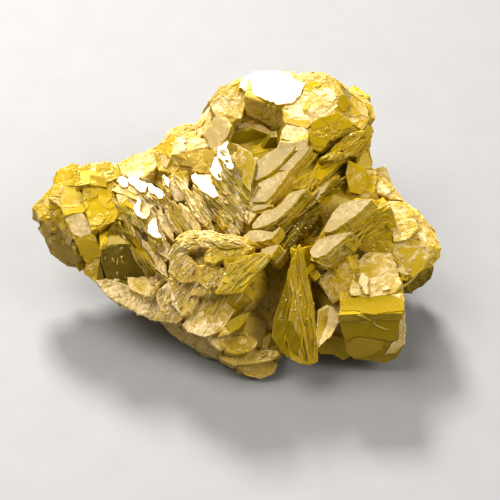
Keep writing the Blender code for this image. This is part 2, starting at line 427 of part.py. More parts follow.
def front(pieces):
    """The rough golden front: a layered arch, broken rhombs under it, tan fibres and two small blades."""
    t = tablet
    arch = [((-11.2, -0.8), (-7.4, 1.5), 2.0, 7.0, (-16, 8)), ((-9.6, 0.6), (-5.6, 1.5), 1.8, 7.7, (-10, 20)),
            ((-7.6, 1.3), (-3, 0.9), 1.7, 8.3, (-2, 24)), ((-5.2, 1.2), (-0.4, 0.5), 1.5, 8.8, (6, 20)),
            ((-10.4, 1.4), (-6, 2.4), 1.5, 6.4, (-10, 24)), ((-7.6, 2.2), (-2.8, 1.7), 1.4, 7.0, (0, 28)),
            ((-4.4, 1.7), (1, 0.8), 1.4, 7.6, (8, 22))]
    for i, (tip, heel, width, out, face) in enumerate(arch):
        t(pieces, f"arch_{i}", leaf_outline(tip, heel, width, 3, 0.4), out, face, 2.4)
    t(pieces, "front_facet", [(-6, -0.2), (-5, 0.5), (-2.5, 0.5), (0.6, 0.4), (-1.5, -1.1), (-3.5, -1.2),
                              (-5, -2), (-6.1, -1.6)], 9.0, (-2, 22), 4)
    t(pieces, "front_gold", [(-3.6, -1.2), (-1, -0.9), (1.6, -0.4), (3.2, -0.8), (1.2, -3), (0, -4.4), (-1, -5.9),
                             (-4.6, -6), (-3.2, -3)], 9.8, (8, 2), 5)
    t(pieces, "front_scales", [(-11, -1), (-9, -0.4), (-7.4, -1.9), (-6, -3.2), (-7, -4.4), (-9.6, -4.4),
                               (-11.2, -3)], 7.4, (-16, 8), 5)
    t(pieces, "front_mid", [(-7.2, -2.2), (-5.2, -2), (-3.4, -2.6), (-4.4, -5.9), (-6, -5.4), (-7, -4.2)],
      8.9, (0, 6), 5)
    t(pieces, "front_tan_a", [(-8.3, -6.1), (-6.9, -4.2), (-6, -4.4), (-5.2, -6), (-6.4, -6.2)], 8.4, (-10, 16), 4)
    t(pieces, "front_tan_b", [(-9.6, -9.1), (-8.3, -6.2), (-7, -6.2), (-8.2, -8.8)], 7.4, (-12, 10), 4)
    t(pieces, "front_fibres", [(-11.4, -4), (-9, -4.2), (-8, -6), (-9.4, -9), (-10.6, -7.6)], 6.0, (-16, 0), 4)
    t(pieces, "low_lump", [(-9.3, -10.4), (-8, -8.4), (-6.4, -6.7), (-3.8, -6.8), (-2.2, -8.4), (-3.6, -11),
                           (-6.2, -12), (-8.6, -11.3)], 6.9, (-8, 4), 5)
    t(pieces, "low_lump_right", [(-6.2, -11.8), (-3.8, -10.8), (-3.2, -13.4), (-4.2, -14), (-5.2, -13.2)],
      6.2, (-4, -14), 4)
    t(pieces, "gold_blade", leaf_outline((-4.2, -11.9), (0, -8.6), 1.7, 3), 7.0, (14, 10), 1.6)
    t(pieces, "green_blade", [(-3.6, -13), (-3, -12.1), (-0.4, -12), (1, -12.6), (0.8, -13.3), (-0.2, -14),
                              (-2, -14.4), (-3.4, -14)], 5.9, (4, 16), 1.6)
    t(pieces, "low_shelf", [(-4.2, -14.9), (-2.2, -14.3), (1, -13.9), (3.4, -14), (4.3, -14.5), (3, -15.3),
                            (0, -15.8), (-2.4, -15.9)], 4.4, (0, 10), 4)
    t(pieces, "tip", [(-1.8, -16.3), (0, -15.2), (2.4, -15.2), (3.9, -15.9), (3.2, -17.2), (1.6, -17.9),
                      (-0.4, -17.5)], 3.3, (0, -20), 5)
    t(pieces, "tip_left", [(-4.2, -15.2), (-2, -16), (-1.8, -17.4), (-0.2, -17.6), (0.4, -16), (-2, -14.8)],
      1.8, (-14, -30), 4)
    t(pieces, "under_left", [(-12.6, -9.8), (-10, -9.9), (-8.4, -11.2), (-6, -12.4), (-4.8, -13.8), (-4.2, -15.1),
                             (-6.4, -15), (-7.6, -13.8), (-9.2, -12.9), (-10.8, -11.8)], 1.4, (-12, -44), 5)


# ---------------------------------------------------------------- joining


def outer_shell(mesh):
    """Keeps the largest closed shell: chips that touch nothing and sealed voids go."""
    body = bmesh.new()
    body.from_mesh(mesh)
    left = set(body.verts)
    shells = []
    while left:
        shell, edge = set(), {left.pop()}
        while edge:
            vert = edge.pop()
            shell.add(vert)
            for link in vert.link_edges:
                other = link.other_vert(vert)
                if other in left:
                    left.discard(other)
                    edge.add(other)
        shells.append(shell)
    shells.sort(key=len)
    bmesh.ops.delete(body, geom=[v for shell in shells[:-1] for v in shell], context="VERTS")
    body.to_mesh(mesh)
    body.free()


def joined(pieces, cutters, collection):
    """One solid of all the pieces, less the cutters."""
    cluster = bpy.data.objects.new(NODE, pieces.objects["heart"].data.copy())
    collection.objects.link(cluster)
    pieces.objects.unlink(pieces.objects["heart"])
    for operation, operand in (("UNION", pieces), ("DIFFERENCE", cutters)):
        join = cluster.modifiers.new(operation.lower(), "BOOLEAN")
        join.operation = operation
        join.operand_type = "COLLECTION"
        join.collection = operand
    graph = bpy.context.evaluated_depsgraph_get()
    mesh = bpy.data.meshes.new_from_object(cluster.evaluated_get(graph), depsgraph=graph)
    cluster.modifiers.clear()
    outer_shell(mesh)
    cluster.data = mesh
    return cluster


def table_cutter(cutters):
    """What lies below the broken foot, cut away so that the cluster rests on a flat face."""
    body = bmesh.new()
    bmesh.ops.create_cube(body, size=TABLE_BLOCK)
    body.transform(Matrix.Translation((0, 0, FOOT_CUT - TABLE_BLOCK / 2)))
    return new_piece("table", body, cutters)


def siderite():
    """A greenish yellow, resinous crystal."""
    finish = bpy.data.materials.new("siderite")
    finish.use_nodes = True
    shader = finish.node_tree.nodes["Principled BSDF"]
    shader.inputs["Base Color"].default_value = SIDERITE
    shader.inputs["Roughness"].default_value = 0.35
    shader.inputs["Metallic"].default_value = 0.0
    return finish


def collection_named(name):
    made = bpy.data.collections.new(name)
    bpy.context.scene.collection.children.link(made)
    return made


def main():
    for old in list(bpy.data.objects):
        bpy.data.objects.remove(old)
    shown = collection_named("siderite_cluster")
    pieces, cutters = collection_named("crystals_to_join"), collection_named("cutters")
    for part in (core, crust, arm, left_apron, crest, left_fan, right_fan, petals, crown, right_mass, block, leaf, front):
        part(pieces)
    table_cutter(cutters)
    cluster = joined(pieces, cutters, shown)
    cluster.data.materials.append(siderite())
    for helper in (*pieces.objects, *cutters.objects):
        helper.hide_render = True
        helper.display_type = "WIRE"
    pieces.hide_render = cutters.hide_render = True
    return cluster


if __name__ == "__main__":
    main()
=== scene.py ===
"""The looks of a siderite cluster: every face of its solid is cut fine and raised into the stacked plates
and blades that siderite grows in, with frosted rims that partly paint highlights, painted shade in its
gaps, glassy olive faces and tan fibres, on a pale floor.

A place on the show face is given in millimetres as (across, up, out), as in the solid's own source, and an
outline is a row of places (across, up). A finish is how frosted, how olive and how tan a crystal is, from 0
to 1. The way that a face lies is given in degrees, as how far it is turned to the right and tipped up.
"""

import math
import random
from collections import namedtuple

import bmesh
import bpy
import numpy as np
from mathutils import Matrix, Vector
from mathutils.bvhtree import BVHTree


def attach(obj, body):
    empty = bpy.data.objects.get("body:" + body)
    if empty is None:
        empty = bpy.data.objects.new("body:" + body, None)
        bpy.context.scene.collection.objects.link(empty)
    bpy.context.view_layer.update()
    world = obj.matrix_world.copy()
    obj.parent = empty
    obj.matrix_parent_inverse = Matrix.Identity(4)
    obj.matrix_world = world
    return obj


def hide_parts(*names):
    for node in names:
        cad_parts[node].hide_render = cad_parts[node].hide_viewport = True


MM = 0.001
LEAN = math.radians(45)          # how far the show face leans back
FACE_UP = Vector((0.0, math.sin(LEAN), math.cos(LEAN)))
FACE_OUT = Vector((0.0, -math.cos(LEAN), math.sin(LEAN)))
FACE_ORIGIN = Vector((2.07, -5.84, 11.5))
# Rows: across, up and out, so that this matrix takes a place of the specimen to a place on the show face.
TO_FACE = Matrix(((1, 0, 0), FACE_UP, FACE_OUT))
FROM_FACE = TO_FACE.transposed()
SEED = 7


def facing(turn, tip):
    """The direction, on the show face, of a face turned to the right and tipped up by these angles."""
    turn, tip = math.radians(turn), math.radians(tip)
    return Vector((math.sin(turn) * math.cos(tip), math.sin(tip), math.cos(turn) * math.cos(tip)))


# ------------------------ how each part of the cluster grew


# How the crystals of one place grew. The place is a disc on the show face, and its grains have a length, a
# width and a heading. They stand out of line by their relief and their tilt, and the finish comes next. The
# point goes from 0, for square ends, to 1, for pointed ones. The lift is the slope by which every grain
# rests on the one beside it, like a shingle. Headings and tilts are in degrees.
Habit = namedtuple("Habit", "across up reach long short heading relief tilt finish point lift",
                   defaults=(0.35, 0))
# Finishes, roughly from the palest to the darkest.
# The palest finish is frost, and on faces that mirror the lamp it also paints the glint.
RIME_AND_GLINT, SNOWY, FROSTED = (1, 0, 0), (1, 0.05, 0.1), (0.9, 0.05, 0.05)
CRUSTED, WEATHERED, SAGE = (1, 0, 0.35), (1, 0.25, 0.15), (0.75, 0.3, 0.1)
HAZY, EARTHY_FROST, TAWNY_FROST = (1, 0.55, 0), (0.8, 0, 0.25), (0.6, 0, 0.3)
CREAM_GOLD, PALE_GOLD, SATIN_GOLD = (0.7, 0, 0.05), (0.6, 0, 0.05), (0.5, 0, 0.05)
SATIN, FIBROUS, TAWNY_HONEY = (0.5, 0.25, 0.1), (0.5, 0.05, 0.55), (0.35, 0.25, 0.4)
HONEY, GREEN_GOLD = (0.3, 0.25, 0.05), (0, 0.4, 0.05)
GLOWING, AMBER, EARTHY = (0, 0, 0), (0, 0.2, 0.1), (0, 0.05, 0.45)
# The last two of these also paint shade: the third in the hollow and among the dark vanes, the fourth on
# the lower-left underside.
GLASSY, OLIVE_GLASS, OLIVE_SHADE, UNDERSIDE_SHADE = (0, 0.55, 0.1), (0, 0.85, 0.05), (0, 1, 0), (0, 0.95, 0.85)
GROWTH = {
    # left arm
    "arm_end": (-29.3, 5.5, 2, 2.2, 1.3, 20, 0.08, 6, SATIN),
    # The arm's lower-left side: its olive finish paints the shade on that side.
    "arm_under": (-27, 0.8, 3, 1.2, 0.7, 60, 0.12, 6, (0.05, 0.6, 0.35)),
    "arm_top": (-23, 10.6, 3.4, 2.2, 1.3, 5, 0.08, 6, HONEY),
    "arm_mid": (-25, 5.5, 2.6, 2.2, 1.3, -10, 0.08, 6, PALE_GOLD),
    "column": (-20.8, 5.5, 2.4, 2.2, 1.3, -20, 0.08, 6, SATIN_GOLD),
    "stair": (-22.5, -0.6, 2.2, 0.9, 0.45, 0, 0.12, 6, PALE_GOLD),
    "rhomb": (-17.5, -2.2, 2.8, 3.2, 2, 10, 0.025, 1, OLIVE_GLASS),
    "rhomb_top": (-18.3, 2.2, 1.4, 1.4, 0.8, 30, 0.1, 4, OLIVE_GLASS),
    "apron_scales": (-18.7, -5.8, 1.9, 0.7, 0.45, 20, 0.14, 10, WEATHERED),
    "apron_plate": (-15.2, -5, 1.5, 1.8, 0.9, 20, 0.025, 1, CRUSTED),
    "apron_band": (-13.6, -8, 2.8, 1.7, 0.35, 60, 0.14, 9, CRUSTED),
    # crest
    "rim_a": (-15.6, 12.4, 2.8, 2.2, 1.4, 20, 0.07, 6, SNOWY),
    # The level on the crest is near white: frost that also paints the glint there.
    "level": (-15, 8.7, 2.4, 1.4, 0.5, -15, 0.06, 3, RIME_AND_GLINT),
    "rim_b": (-9.6, 16.4, 2.5, 2.2, 1.4, 30, 0.07, 6, WEATHERED),
    "gold": (-11.3, 12.6, 2, 2.2, 1.3, 50, 0.08, 6, CREAM_GOLD),
    "crest_tan": (-7, 12.4, 1.8, 2.2, 1.3, 40, 0.08, 6, TAWNY_HONEY),
    "kite": (-4.5, 16.4, 1.6, 1.8, 0.9, 60, 0.025, 1, (0.55, 0.2, 0.15)),
    # left fan
    "fan_far": (-12.2, 4.6, 3.4, 2.2, 0.35, -58, 0.14, 5, RIME_AND_GLINT, 0.6, 0.25),
    "fan_mid": (-6.4, 4.6, 3.6, 2.4, 0.35, -52, 0.14, 5, FROSTED, 0.6, 0.25),
    "fan_near": (-2.4, 7.4, 3, 2.4, 0.35, -53, 0.14, 5, SAGE, 0.6, 0.25),
    "barb_broad": (-0.8, 12.2, 2, 1.3, 0.5, 60, 0.1, 3, HAZY, 0.35, 0.15),
    "barb_bright": (-3.9, 12.4, 1.6, 1.6, 0.7, 70, 0.025, 1, (0.4, 0.25, 0)),
    "barb_glossy": (-6.2, 8.8, 1.5, 2, 0.8, -50, 0.025, 1, (0.35, 0.25, 0.1)),
    # right fan
    "vane_top": (3.2, 12.2, 2.6, 3, 0.7, 42, 0.025, 1, (0.42, 0.4, 0.05)),
    "vane_mid": (3, 8.6, 2.4, 3, 0.7, 42, 0.025, 1, (0.42, 0.4, 0.05)),
    "vane_low": (4, 5.2, 2.4, 3, 0.7, 42, 0.025, 1, (0.55, 0.25, 0.05)),
    "gold_bars": (8.6, 10.6, 2.9, 3.2, 0.32, 42, 0.14, 4, GREEN_GOLD, 0.6, 0.2),
    # The dark vanes are deep olive, partly their own colour and partly painted shade.
    "dark_vanes": (7.6, 4.2, 2.8, 3, 0.4, 42, 0.12, 4, OLIVE_SHADE, 0.6, 0.2),
    # petals
    "petal_top": (13.2, 5, 2.5, 3.6, 1.3, 40, 0.025, 1, SATIN),
    "petal_hem": (16, 3.4, 2.4, 3.2, 0.28, 36, 0.14, 4, GLOWING, 0.6, 0.2),
    "petal_low": (11.2, 0.6, 2.1, 3.4, 1.2, 38, 0.025, 1, SATIN),
    "petal_root": (8, -2, 1.6, 1.8, 0.4, 60, 0.1, 5, GLOWING),
    # right-hand mass
    "right_face": (12, -4.2, 2.4, 2.2, 1.3, 60, 0.08, 6, PALE_GOLD),
    "right_frost": (17.3, -3.6, 3.2, 2.2, 1.4, 30, 0.07, 6, FROSTED),
    "right_shade": (17.5, 2.4, 2.3, 2.2, 1.3, 40, 0.08, 6, AMBER),
    "right_upper": (21.5, 4.2, 2.8, 2.2, 1.4, 30, 0.07, 6, SNOWY),
    "right_rim": (25.2, 1.8, 2.4, 2.2, 1.4, -50, 0.07, 6, SNOWY),
    "right_gold": (23, -1.2, 2.4, 2.2, 1.3, -40, 0.08, 6, PALE_GOLD),
    "right_under": (23.6, -4.6, 2, 1.6, 1, 30, 0.08, 4, OLIVE_GLASS),
    "ridge_flat": (15, 10.2, 2.1, 2.6, 2, 60, 0.025, 1, PALE_GOLD),
    "ridge_rim": (18.6, 9.4, 2, 2.2, 1.4, -40, 0.07, 6, FROSTED),
    # crown
    # The crown's level top is near white: frost that also paints the glint there.
    "crown_level": (3, 22.8, 3.8, 1.28, 0.8, 20, 0.06, 6, (0.9, 0, 0)),
    "lintel": (2.5, 19.3, 2.2, 1.2, 0.7, -30, 0.12, 6, (0.25, 0.2, 0.4)),
    "left_wall": (-3.2, 21, 2.6, 2.2, 1.4, 60, 0.07, 6, SAGE),
    "ledge": (0.5, 17.3, 1.5, 1.4, 0.8, 10, 0.025, 1, (0.4, 0.4, 0.15)),
    # The hollow's floor and face are dark olive, partly their own colour and partly painted shade in the
    # hollow.
    "hollow_floor": (1.5, 14.3, 1.2, 1.6, 1, 40, 0.025, 1, OLIVE_SHADE),
    "hollow_face": (-0.5, 15.4, 1.8, 1.6, 1, 40, 0.025, 1, (0.1, 0.9, 0.05)),
    "door_top": (6.4, 16.3, 1.6, 1.2, 0.8, 10, 0.08, 4, CREAM_GOLD),
    "door_front": (6.2, 14.4, 1.4, 1.4, 0.8, 0, 0.08, 4, (0.55, 0.15, 0.05)),
    "crown_gold": (11, 16.8, 2.4, 2.2, 1.3, 60, 0.08, 6, HONEY),
    "crown_pale": (8, 19.8, 3, 2.2, 1.4, 40, 0.07, 6, WEATHERED),
    "crown_top": (10.6, 23, 3, 2.2, 1.4, 20, 0.07, 6, SAGE),
    "window": (13.2, 20.5, 1.2, 2, 1.4, 60, 0.025, 1, (0.1, 0.7, 0)),
    "crown_rim": (15.8, 20.2, 2, 2.2, 1.4, -50, 0.07, 6, FROSTED),
    "streak": (14.2, 15.2, 2.2, 2.2, 0.32, 38, 0.14, 4, AMBER, 0.6, 0.2),
    # front
    "arch": (-6.2, 1.4, 3.8, 0.8, 0.32, 10, 0.14, 10, (0.65, 0.05, 0.25)),
    "front_facet": (-3, -0.5, 1.8, 1.6, 0.9, 20, 0.08, 4, GLASSY),
    "front_gold": (-0.6, -3.2, 2.8, 1.6, 1, 60, 0.1, 5, AMBER),
    "front_scales": (-8.8, -2.5, 2.4, 0.7, 0.4, 30, 0.14, 10, TAWNY_FROST),
    "front_tan": (-7.5, -6.4, 2.4, 1, 0.32, 62, 0.14, 9, FIBROUS),
    "low_lump": (-6.2, -9.6, 2.6, 1.2, 0.6, 50, 0.12, 7, EARTHY_FROST),
    "gold_blade": (-2, -10.2, 1.3, 1.8, 0.5, 38, 0.025, 1, GREEN_GOLD),
    "green_blade": (-1.3, -13.2, 1.6, 1.4, 0.8, 10, 0.06, 4, SAGE),
    "tip": (0.4, -15.8, 2.5, 1, 0.5, 5, 0.12, 8, FIBROUS),
    # The lower-left underside: its dark olive-brown finish paints the shade under the cluster.
    "under_left": (-8.5, -12.6, 3, 1.2, 0.6, 40, 0.12, 7, UNDERSIDE_SHADE),
    "dark_gap": (2.8, -8, 2.2, 1.4, 0.5, 70, 0.12, 7, EARTHY),
    # the leaf, the wedge beside it and the block
    "leaf": (6.6, -8, 3.4, 7, 0.5, 84, 0.03, 4, AMBER),
    "wedge": (10.8, -10, 1.8, 1.4, 0.8, 60, 0.025, 1, RIME_AND_GLINT),
    "block_front": (17, -11.8, 4.2, 3.6, 2.2, 0, 0.025, 1, GREEN_GOLD),
    "block_top": (17, -7.6, 2, 2.4, 0.8, 0, 0.04, 1, (0, 0.15, 0)),
}
HABITS = [Habit(*row) for row in GROWTH.values()]
# The broken side away from the viewer, and every face that turns away from the show side.
HIDDEN_HABIT = Habit(0, 0, 1, 1.6, 0.9, 40, 0.14, 8, (0.42, 0.15, 0.35))
HIDDEN_FROM = -0.15              # how far a face turns away before it takes the hidden side's habit


# ------------------------ repeatable chance


STRIDE = np.uint32(0x6D2B79F5)   # odd numbers that scatter the bits of a whole number
SCATTER = np.uint32(0x85EBCA6B), np.uint32(0xC2B2AE35)
HALF_WORD, SHORT_WORD = np.uint32(16), np.uint32(13)


def rolls(count, *keys):
    """Some numbers from 0 to 1 for each row of whole-number keys, always the same for the same keys."""
    mixed = np.full(np.shape(keys[0]), SEED, np.uint32)
    for key in keys:
        mixed = stirred(mixed ^ np.asarray(key).astype(np.int64).astype(np.uint32))
    made = []
    for _ in range(count):
        mixed = stirred(mixed + STRIDE)
        made.append(mixed / 2.0 ** 32)
    return made


def stirred(whole):
    """A whole number with its bits well mixed."""
    whole = (whole ^ (whole >> HALF_WORD)) * SCATTER[0]
    whole = (whole ^ (whole >> SHORT_WORD)) * SCATTER[1]
    return whole ^ (whole >> HALF_WORD)


def haze(place, size, salt=0):
    """A smooth wandering value from -1 to 1 at each place, with waves about as long as the size."""
    at = place / size
    low = np.floor(at).astype(np.int64)
    part = at - low
    part = part * part * (3 - 2 * part)
    total = 0
    for corner in np.ndindex(2, 2, 2):
        share = np.prod(np.where(corner, part, 1 - part), axis=1)
        total = total + share * rolls(1, *(low + corner).T, np.full(len(low), salt))[0]
    return total * 2 - 1


def varied(finish, roll):
    """The finish with a new roll added to each of its parts."""
    return [min(1, max(0, part + roll())) for part in finish]


def heading_vector(angle):
    """A step of length 1 on the show face, turned anticlockwise from straight across by this angle."""
    return Vector((math.cos(angle), math.sin(angle)))


def scattered(across, up, reach, dice):
    """A chance place in a disc on the show face."""
    way, far = dice.uniform(0, 2 * math.pi), reach * math.sqrt(dice.random())
    return Vector((across + far * math.cos(way), up + far * math.sin(way)))


# ------------------------ the solid's faces, cut fine


SIDES = [[0, 1], [1, 2], [2, 0]]
WELD = 1e-6                      # corners of the solid this near each other, in metres, are one
FLAT_WITHIN = math.radians(0.5)  # triangles that lean from each other less than this are one crystal face


def solid_faces(solid):
    """The flat faces of the solid, as a mesh in millimetres on the show face."""
    body = bmesh.new()
    body.from_mesh(solid.data)
    bmesh.ops.remove_doubles(body, verts=body.verts, dist=WELD)
    body.transform(TO_FACE.to_4x4() @ Matrix.Translation(-FACE_ORIGIN) @ Matrix.Scale(1 / MM, 4))
    bmesh.ops.dissolve_limit(body, angle_limit=FLAT_WITHIN, verts=body.verts, edges=body.edges)
    body.verts.index_update()
    body.faces.index_update()
    return body


def turned(rows, by):
    """Each row of three turned so that its first becomes the one at by."""
    return np.take_along_axis(rows, (np.arange(3) + by[:, None]) % 3, axis=1)


def split(points, triangles, owner, middles):
    """Cuts each triangle at the middles of its long sides, where middles holds a point and not -1."""
    marked = middles >= 0
    number = marked.sum(axis=1)
    whole, owners = [triangles[number == 0]], [owner[number == 0]]

    def add(owner_rows, *shapes):
        """Adds new triangles, each given by its three rows of corners."""
        for shape in shapes:
            whole.append(np.stack(shape, axis=1))
            owners.append(owner_rows)

    one = number == 1
    by = marked[one].argmax(axis=1)
    (a, b, c), p = turned(triangles[one], by).T, turned(middles[one], by)[:, 0]
    add(owner[one], (a, p, c), (p, b, c))
    two = number == 2
    by = (marked[two].argmin(axis=1) + 1) % 3
    (a, b, c), (p, q, _) = turned(triangles[two], by).T, turned(middles[two], by).T
    to_q, to_p = (np.linalg.norm(points[m] - points[n], axis=1) for m, n in ((a, q), (p, c)))
    first = to_q < to_p
    add(owner[two], (p, b, q), (a, p, np.where(first, q, c)), (np.where(first, a, p), q, c))
    three = number == 3
    (a, b, c), (p, q, r) = triangles[three].T, middles[three].T
    add(owner[three], (a, p, r), (p, b, q), (r, q, c), (p, q, r))
    return np.vstack(whole), np.concatenate(owners)


def cut_fine(points, triangles, owner, pitch):
    """Cuts the triangles until no side is longer than the pitch of the faces beside it."""
    while True:
        ends = np.sort(triangles[:, SIDES].reshape(-1, 2), axis=1)
        edges, index = np.unique(ends[:, 0] * len(points) + ends[:, 1], return_inverse=True)
        a, b = edges // len(points), edges % len(points)
        most = np.full(len(edges), np.inf)
        np.minimum.at(most, index, np.repeat(pitch[owner], 3))
        long = np.linalg.norm(points[a] - points[b], axis=1) > most
        if not long.any():
            return points, triangles, owner
        made = np.where(long, len(points) + np.cumsum(long) - 1, -1)
        points = np.vstack([points, (points[a[long]] + points[b[long]]) / 2])
        triangles, owner = split(points, triangles, owner, made[index].reshape(-1, 3))


# ------------------------ how a face is raised


WALL_SLOPE = 5.0                 # how steeply a plate's edge drops to the plates below it
SHINGLE = 0.05                   # how far a plate rises towards its tip, as a slope
BARE = -0.6                      # the lowest that the gaps between plates go, as a share of the relief
CALM = 0.05                      # a face of less relief than this is left flat
LEAST, SPREAD = 0.6, 0.5         # half a plate, in cells: the least, and how much more it may be
HEADING_WANDER = math.radians(24)
STEEP = 0.5                      # a face that turns away this far shows the layers of its crystal
SIDE_FROM = 1.1                  # a face counts as a side by this much less what it turns to the viewer
SHOW_PITCH, HIDDEN_PITCH = 0.27, 0.56
WARP, WARP_SIZE = 0.22, 2.5      # how far the rows of plates wander from straight, and over what length
SMALL_LONG, SMALL_SHORT, SMALL_RELIEF = 0.4, 0.45, 0.4     # the small plates, as shares of the large
FULL_RELIEF = 0.12               # a face of this relief has its full lips and pits
# The pale lip is partly frost and partly a painted highlight on each raised plate's rim.
LIP_IN, LIP_WIDTH, LIP_LOW = 0.12, 0.14, 0.3     # where a plate's pale lip lies, how wide and how low
# The pit is painted shade in the gaps between plates.
PIT_SHADE_WIDTH = 0.1
PATCH_SIZE, CLOUD_SIZE = 3.2, 7.0
SIDE_CLEAR = 0.6                 # the share of its frost that a side face lacks
GRAIN_STEP = 3.7                 # how far apart in the grain's noise two faces lie
# What each part of a place adds to its finish.
# The lip partly paints a highlight on each raised plate's rim, and the pit paints shade in the gaps between
# plates.
FROST_SHARES = {"tone": 0.25, "own": 0.25, "small": 0.15, "lip_highlight": 0.35, "pit_shade": -0.25, "patch": 0.22,
                "cloud": 0.1}
OLIVE_SHARES = {"tone": 0.25, "own": 0.2, "pit_shade": 0.15, "cloud": -0.2}
TAN_SHARES = {"small": 0.2}


def plates(x, y, key, long, short, point, relief, slope, lift):
    """Plates of crystal scattered and stacked on a face, the highest one showing at each place (x, y).
    Gives the height, how far inside its plate's edge the place is, and a number that is the plate's own."""
    i0, j0 = np.floor(x / long).astype(np.int64), np.floor(y / short).astype(np.int64)
    height = np.full(len(x), -np.inf)
    inside, own = np.zeros(len(x)), np.zeros(len(x))
    for di, dj in np.ndindex(3, 3):
        i, j = i0 + di - 1, j0 + dj - 1
        across, up, size, level, lean, roll, mark = rolls(7, i, j, key)
        dx, dy = x - (i + across) * long, y - (j + up) * short
        half_long, half_short = long * (LEAST + SPREAD * size), short * (LEAST + SPREAD * size)
        edge = np.minimum(half_long - np.abs(dx), half_short - np.abs(dy))
        cut = (1 + (1 - point) - np.abs(dx) / half_long - np.abs(dy) / half_short) * half_short
        edge = np.minimum(edge, cut)
        along, aside = SHINGLE + slope * (2 * lean - 1), slope * (2 * roll - 1)
        rise = relief * (level - 0.5) + along * dx + aside * dy
        rise = rise - lift * dy
        rise = rise + np.minimum(edge, 0) * WALL_SLOPE
        better = rise > height
        height = np.where(better, rise, height)
        inside = np.where(better, edge, inside)
        own = np.where(better, mark, own)
    return np.maximum(height, relief * BARE), inside, own


class Faces:
    """The crystal faces of the solid: the way each lies, the habit it has and the way its plates run."""

    def __init__(self, body):
        self.normal = np.array([f.normal for f in body.faces])
        self.centre = np.array([f.calc_center_median() for f in body.faces])
        count = len(self.normal)
        table = np.array([(*h[:8], h.point, h.lift, *h.finish) for h in HABITS + [HIDDEN_HABIT]])
        far = np.linalg.norm(self.centre[:, None, :2] - table[None, :-1, :2], axis=2) / table[:-1, 2]
        pick = far.argmin(axis=1)
        pick[self.normal[:, 2] < HIDDEN_FROM] = len(HABITS)
        (self.long, self.short, heading, self.relief, tilt, self.point, self.lift,
         self.frost, self.olive, self.tan) = table[pick, 3:].T
        self.slope = np.radians(tilt)
        wobble, self.tone = rolls(2, np.arange(count))
        heading = np.radians(heading) + (wobble - 0.5) * HEADING_WANDER
        along = np.stack([np.cos(heading), np.sin(heading), np.zeros(count)], axis=1)
        level = np.cross(self.normal, (0, 0, 1))
        steep = np.abs(self.normal[:, 2]) < STEEP
        along[steep] = level[steep]
        along -= self.normal * (along * self.normal).sum(axis=1, keepdims=True)
        self.along = along / np.linalg.norm(along, axis=1, keepdims=True)
        self.across = np.cross(self.normal, self.along)
        self.side = np.clip(SIDE_FROM - np.abs(self.normal[:, 2]), 0, 1)


def blended(base, parts, shares):
    """The base with its share of every part added."""
    for name, share in shares.items():
        base = base + parts[name] * share
    return base


def raised(points, triangles, owner, faces):
    """Raises the fine points into plates. Gives the points, and for each corner its finish and its place
    along and across the plates."""
    number = len(faces.normal)
    pairs, corner = np.unique(triangles * number + owner[:, None], return_inverse=True)
    vertex, face = pairs // number, pairs % number
    place = points[vertex]
    warped = place + np.stack([haze(place, WARP_SIZE, salt) for salt in (1, 2, 3)], axis=1) * WARP
    x = (warped * faces.along[face]).sum(axis=1)
    y = (warped * faces.across[face]).sum(axis=1)
    long, short, point = faces.long[face], faces.short[face], faces.point[face]
    relief, slope, lift = faces.relief[face], faces.slope[face], faces.lift[face]
    high, edge, own = plates(x, y, face, long, short, point, relief, slope, lift)
    small, _, small_own = plates(x, y, face + number, long * SMALL_LONG, short * SMALL_SHORT, point,
                                 relief * SMALL_RELIEF, slope, 0)
    height = np.where(relief < CALM, 0, high + small)
    total = np.zeros(points.shape)
    weight = np.zeros(len(points))
    np.add.at(total, vertex, faces.normal[face] * height[:, None])
    np.add.at(weight, vertex, 1)
    moved = points + total / weight[:, None]
    depth = np.clip(relief / FULL_RELIEF, 0, 1)
    # The lip, just inside each raised plate's edge, is partly frost and partly a painted rim highlight.
    near_edge = np.clip(1 - np.abs(edge - LIP_IN) / LIP_WIDTH, 0, 1)
    lip_highlight = near_edge * np.clip(high / relief + LIP_LOW, 0, 1) * depth
    # The pit, outside each plate's edge, paints shade in the gaps between plates.
    parts = {"tone": faces.tone[face] - 0.5, "own": own - 0.5, "small": small_own - 0.5, "lip_highlight": lip_highlight,
             "pit_shade": np.clip(-edge / PIT_SHADE_WIDTH, 0, 1) * depth, "patch": haze(place, PATCH_SIZE, 4),
             "cloud": haze(place, CLOUD_SIZE, 5)}
    frost = blended(faces.frost[face] * (1 - SIDE_CLEAR * faces.side[face]), parts, FROST_SHARES)
    olive = blended(faces.olive[face], parts, OLIVE_SHARES)
    tan = blended(faces.tan[face], parts, TAN_SHARES)
    finish = np.clip(np.stack([frost, olive, tan, np.ones(len(frost))], axis=1), 0, 1)
    grain = np.stack([x, y, face * GRAIN_STEP], axis=1)
    return moved, finish[corner.reshape(-1)], grain[corner.reshape(-1)]


def flattened(points):
    """The points in metres in the specimen's own axes, none of them below the table."""
    made = points @ np.array(FROM_FACE).T + np.array(FACE_ORIGIN)
    made[:, 2] = np.maximum(made[:, 2], 0)
    return made * MM


# ------------------------ pieces


PLAIN, DULL, GLOSSY = 0, 1, 2    # the places of the three finishes in a mesh's list of materials
DULL_FROM = 0.55                 # a place as frosted as this takes the dull finish
# The pieces are slices of the cluster, from left to right. Each holds the crystal faces with their middles
# left of this place across, and right of the one before.
SLICES = {"left_arm": -13.5, "left_fan": -5, "heart": 3, "right_fan": 11.5, "right_mass": 99}


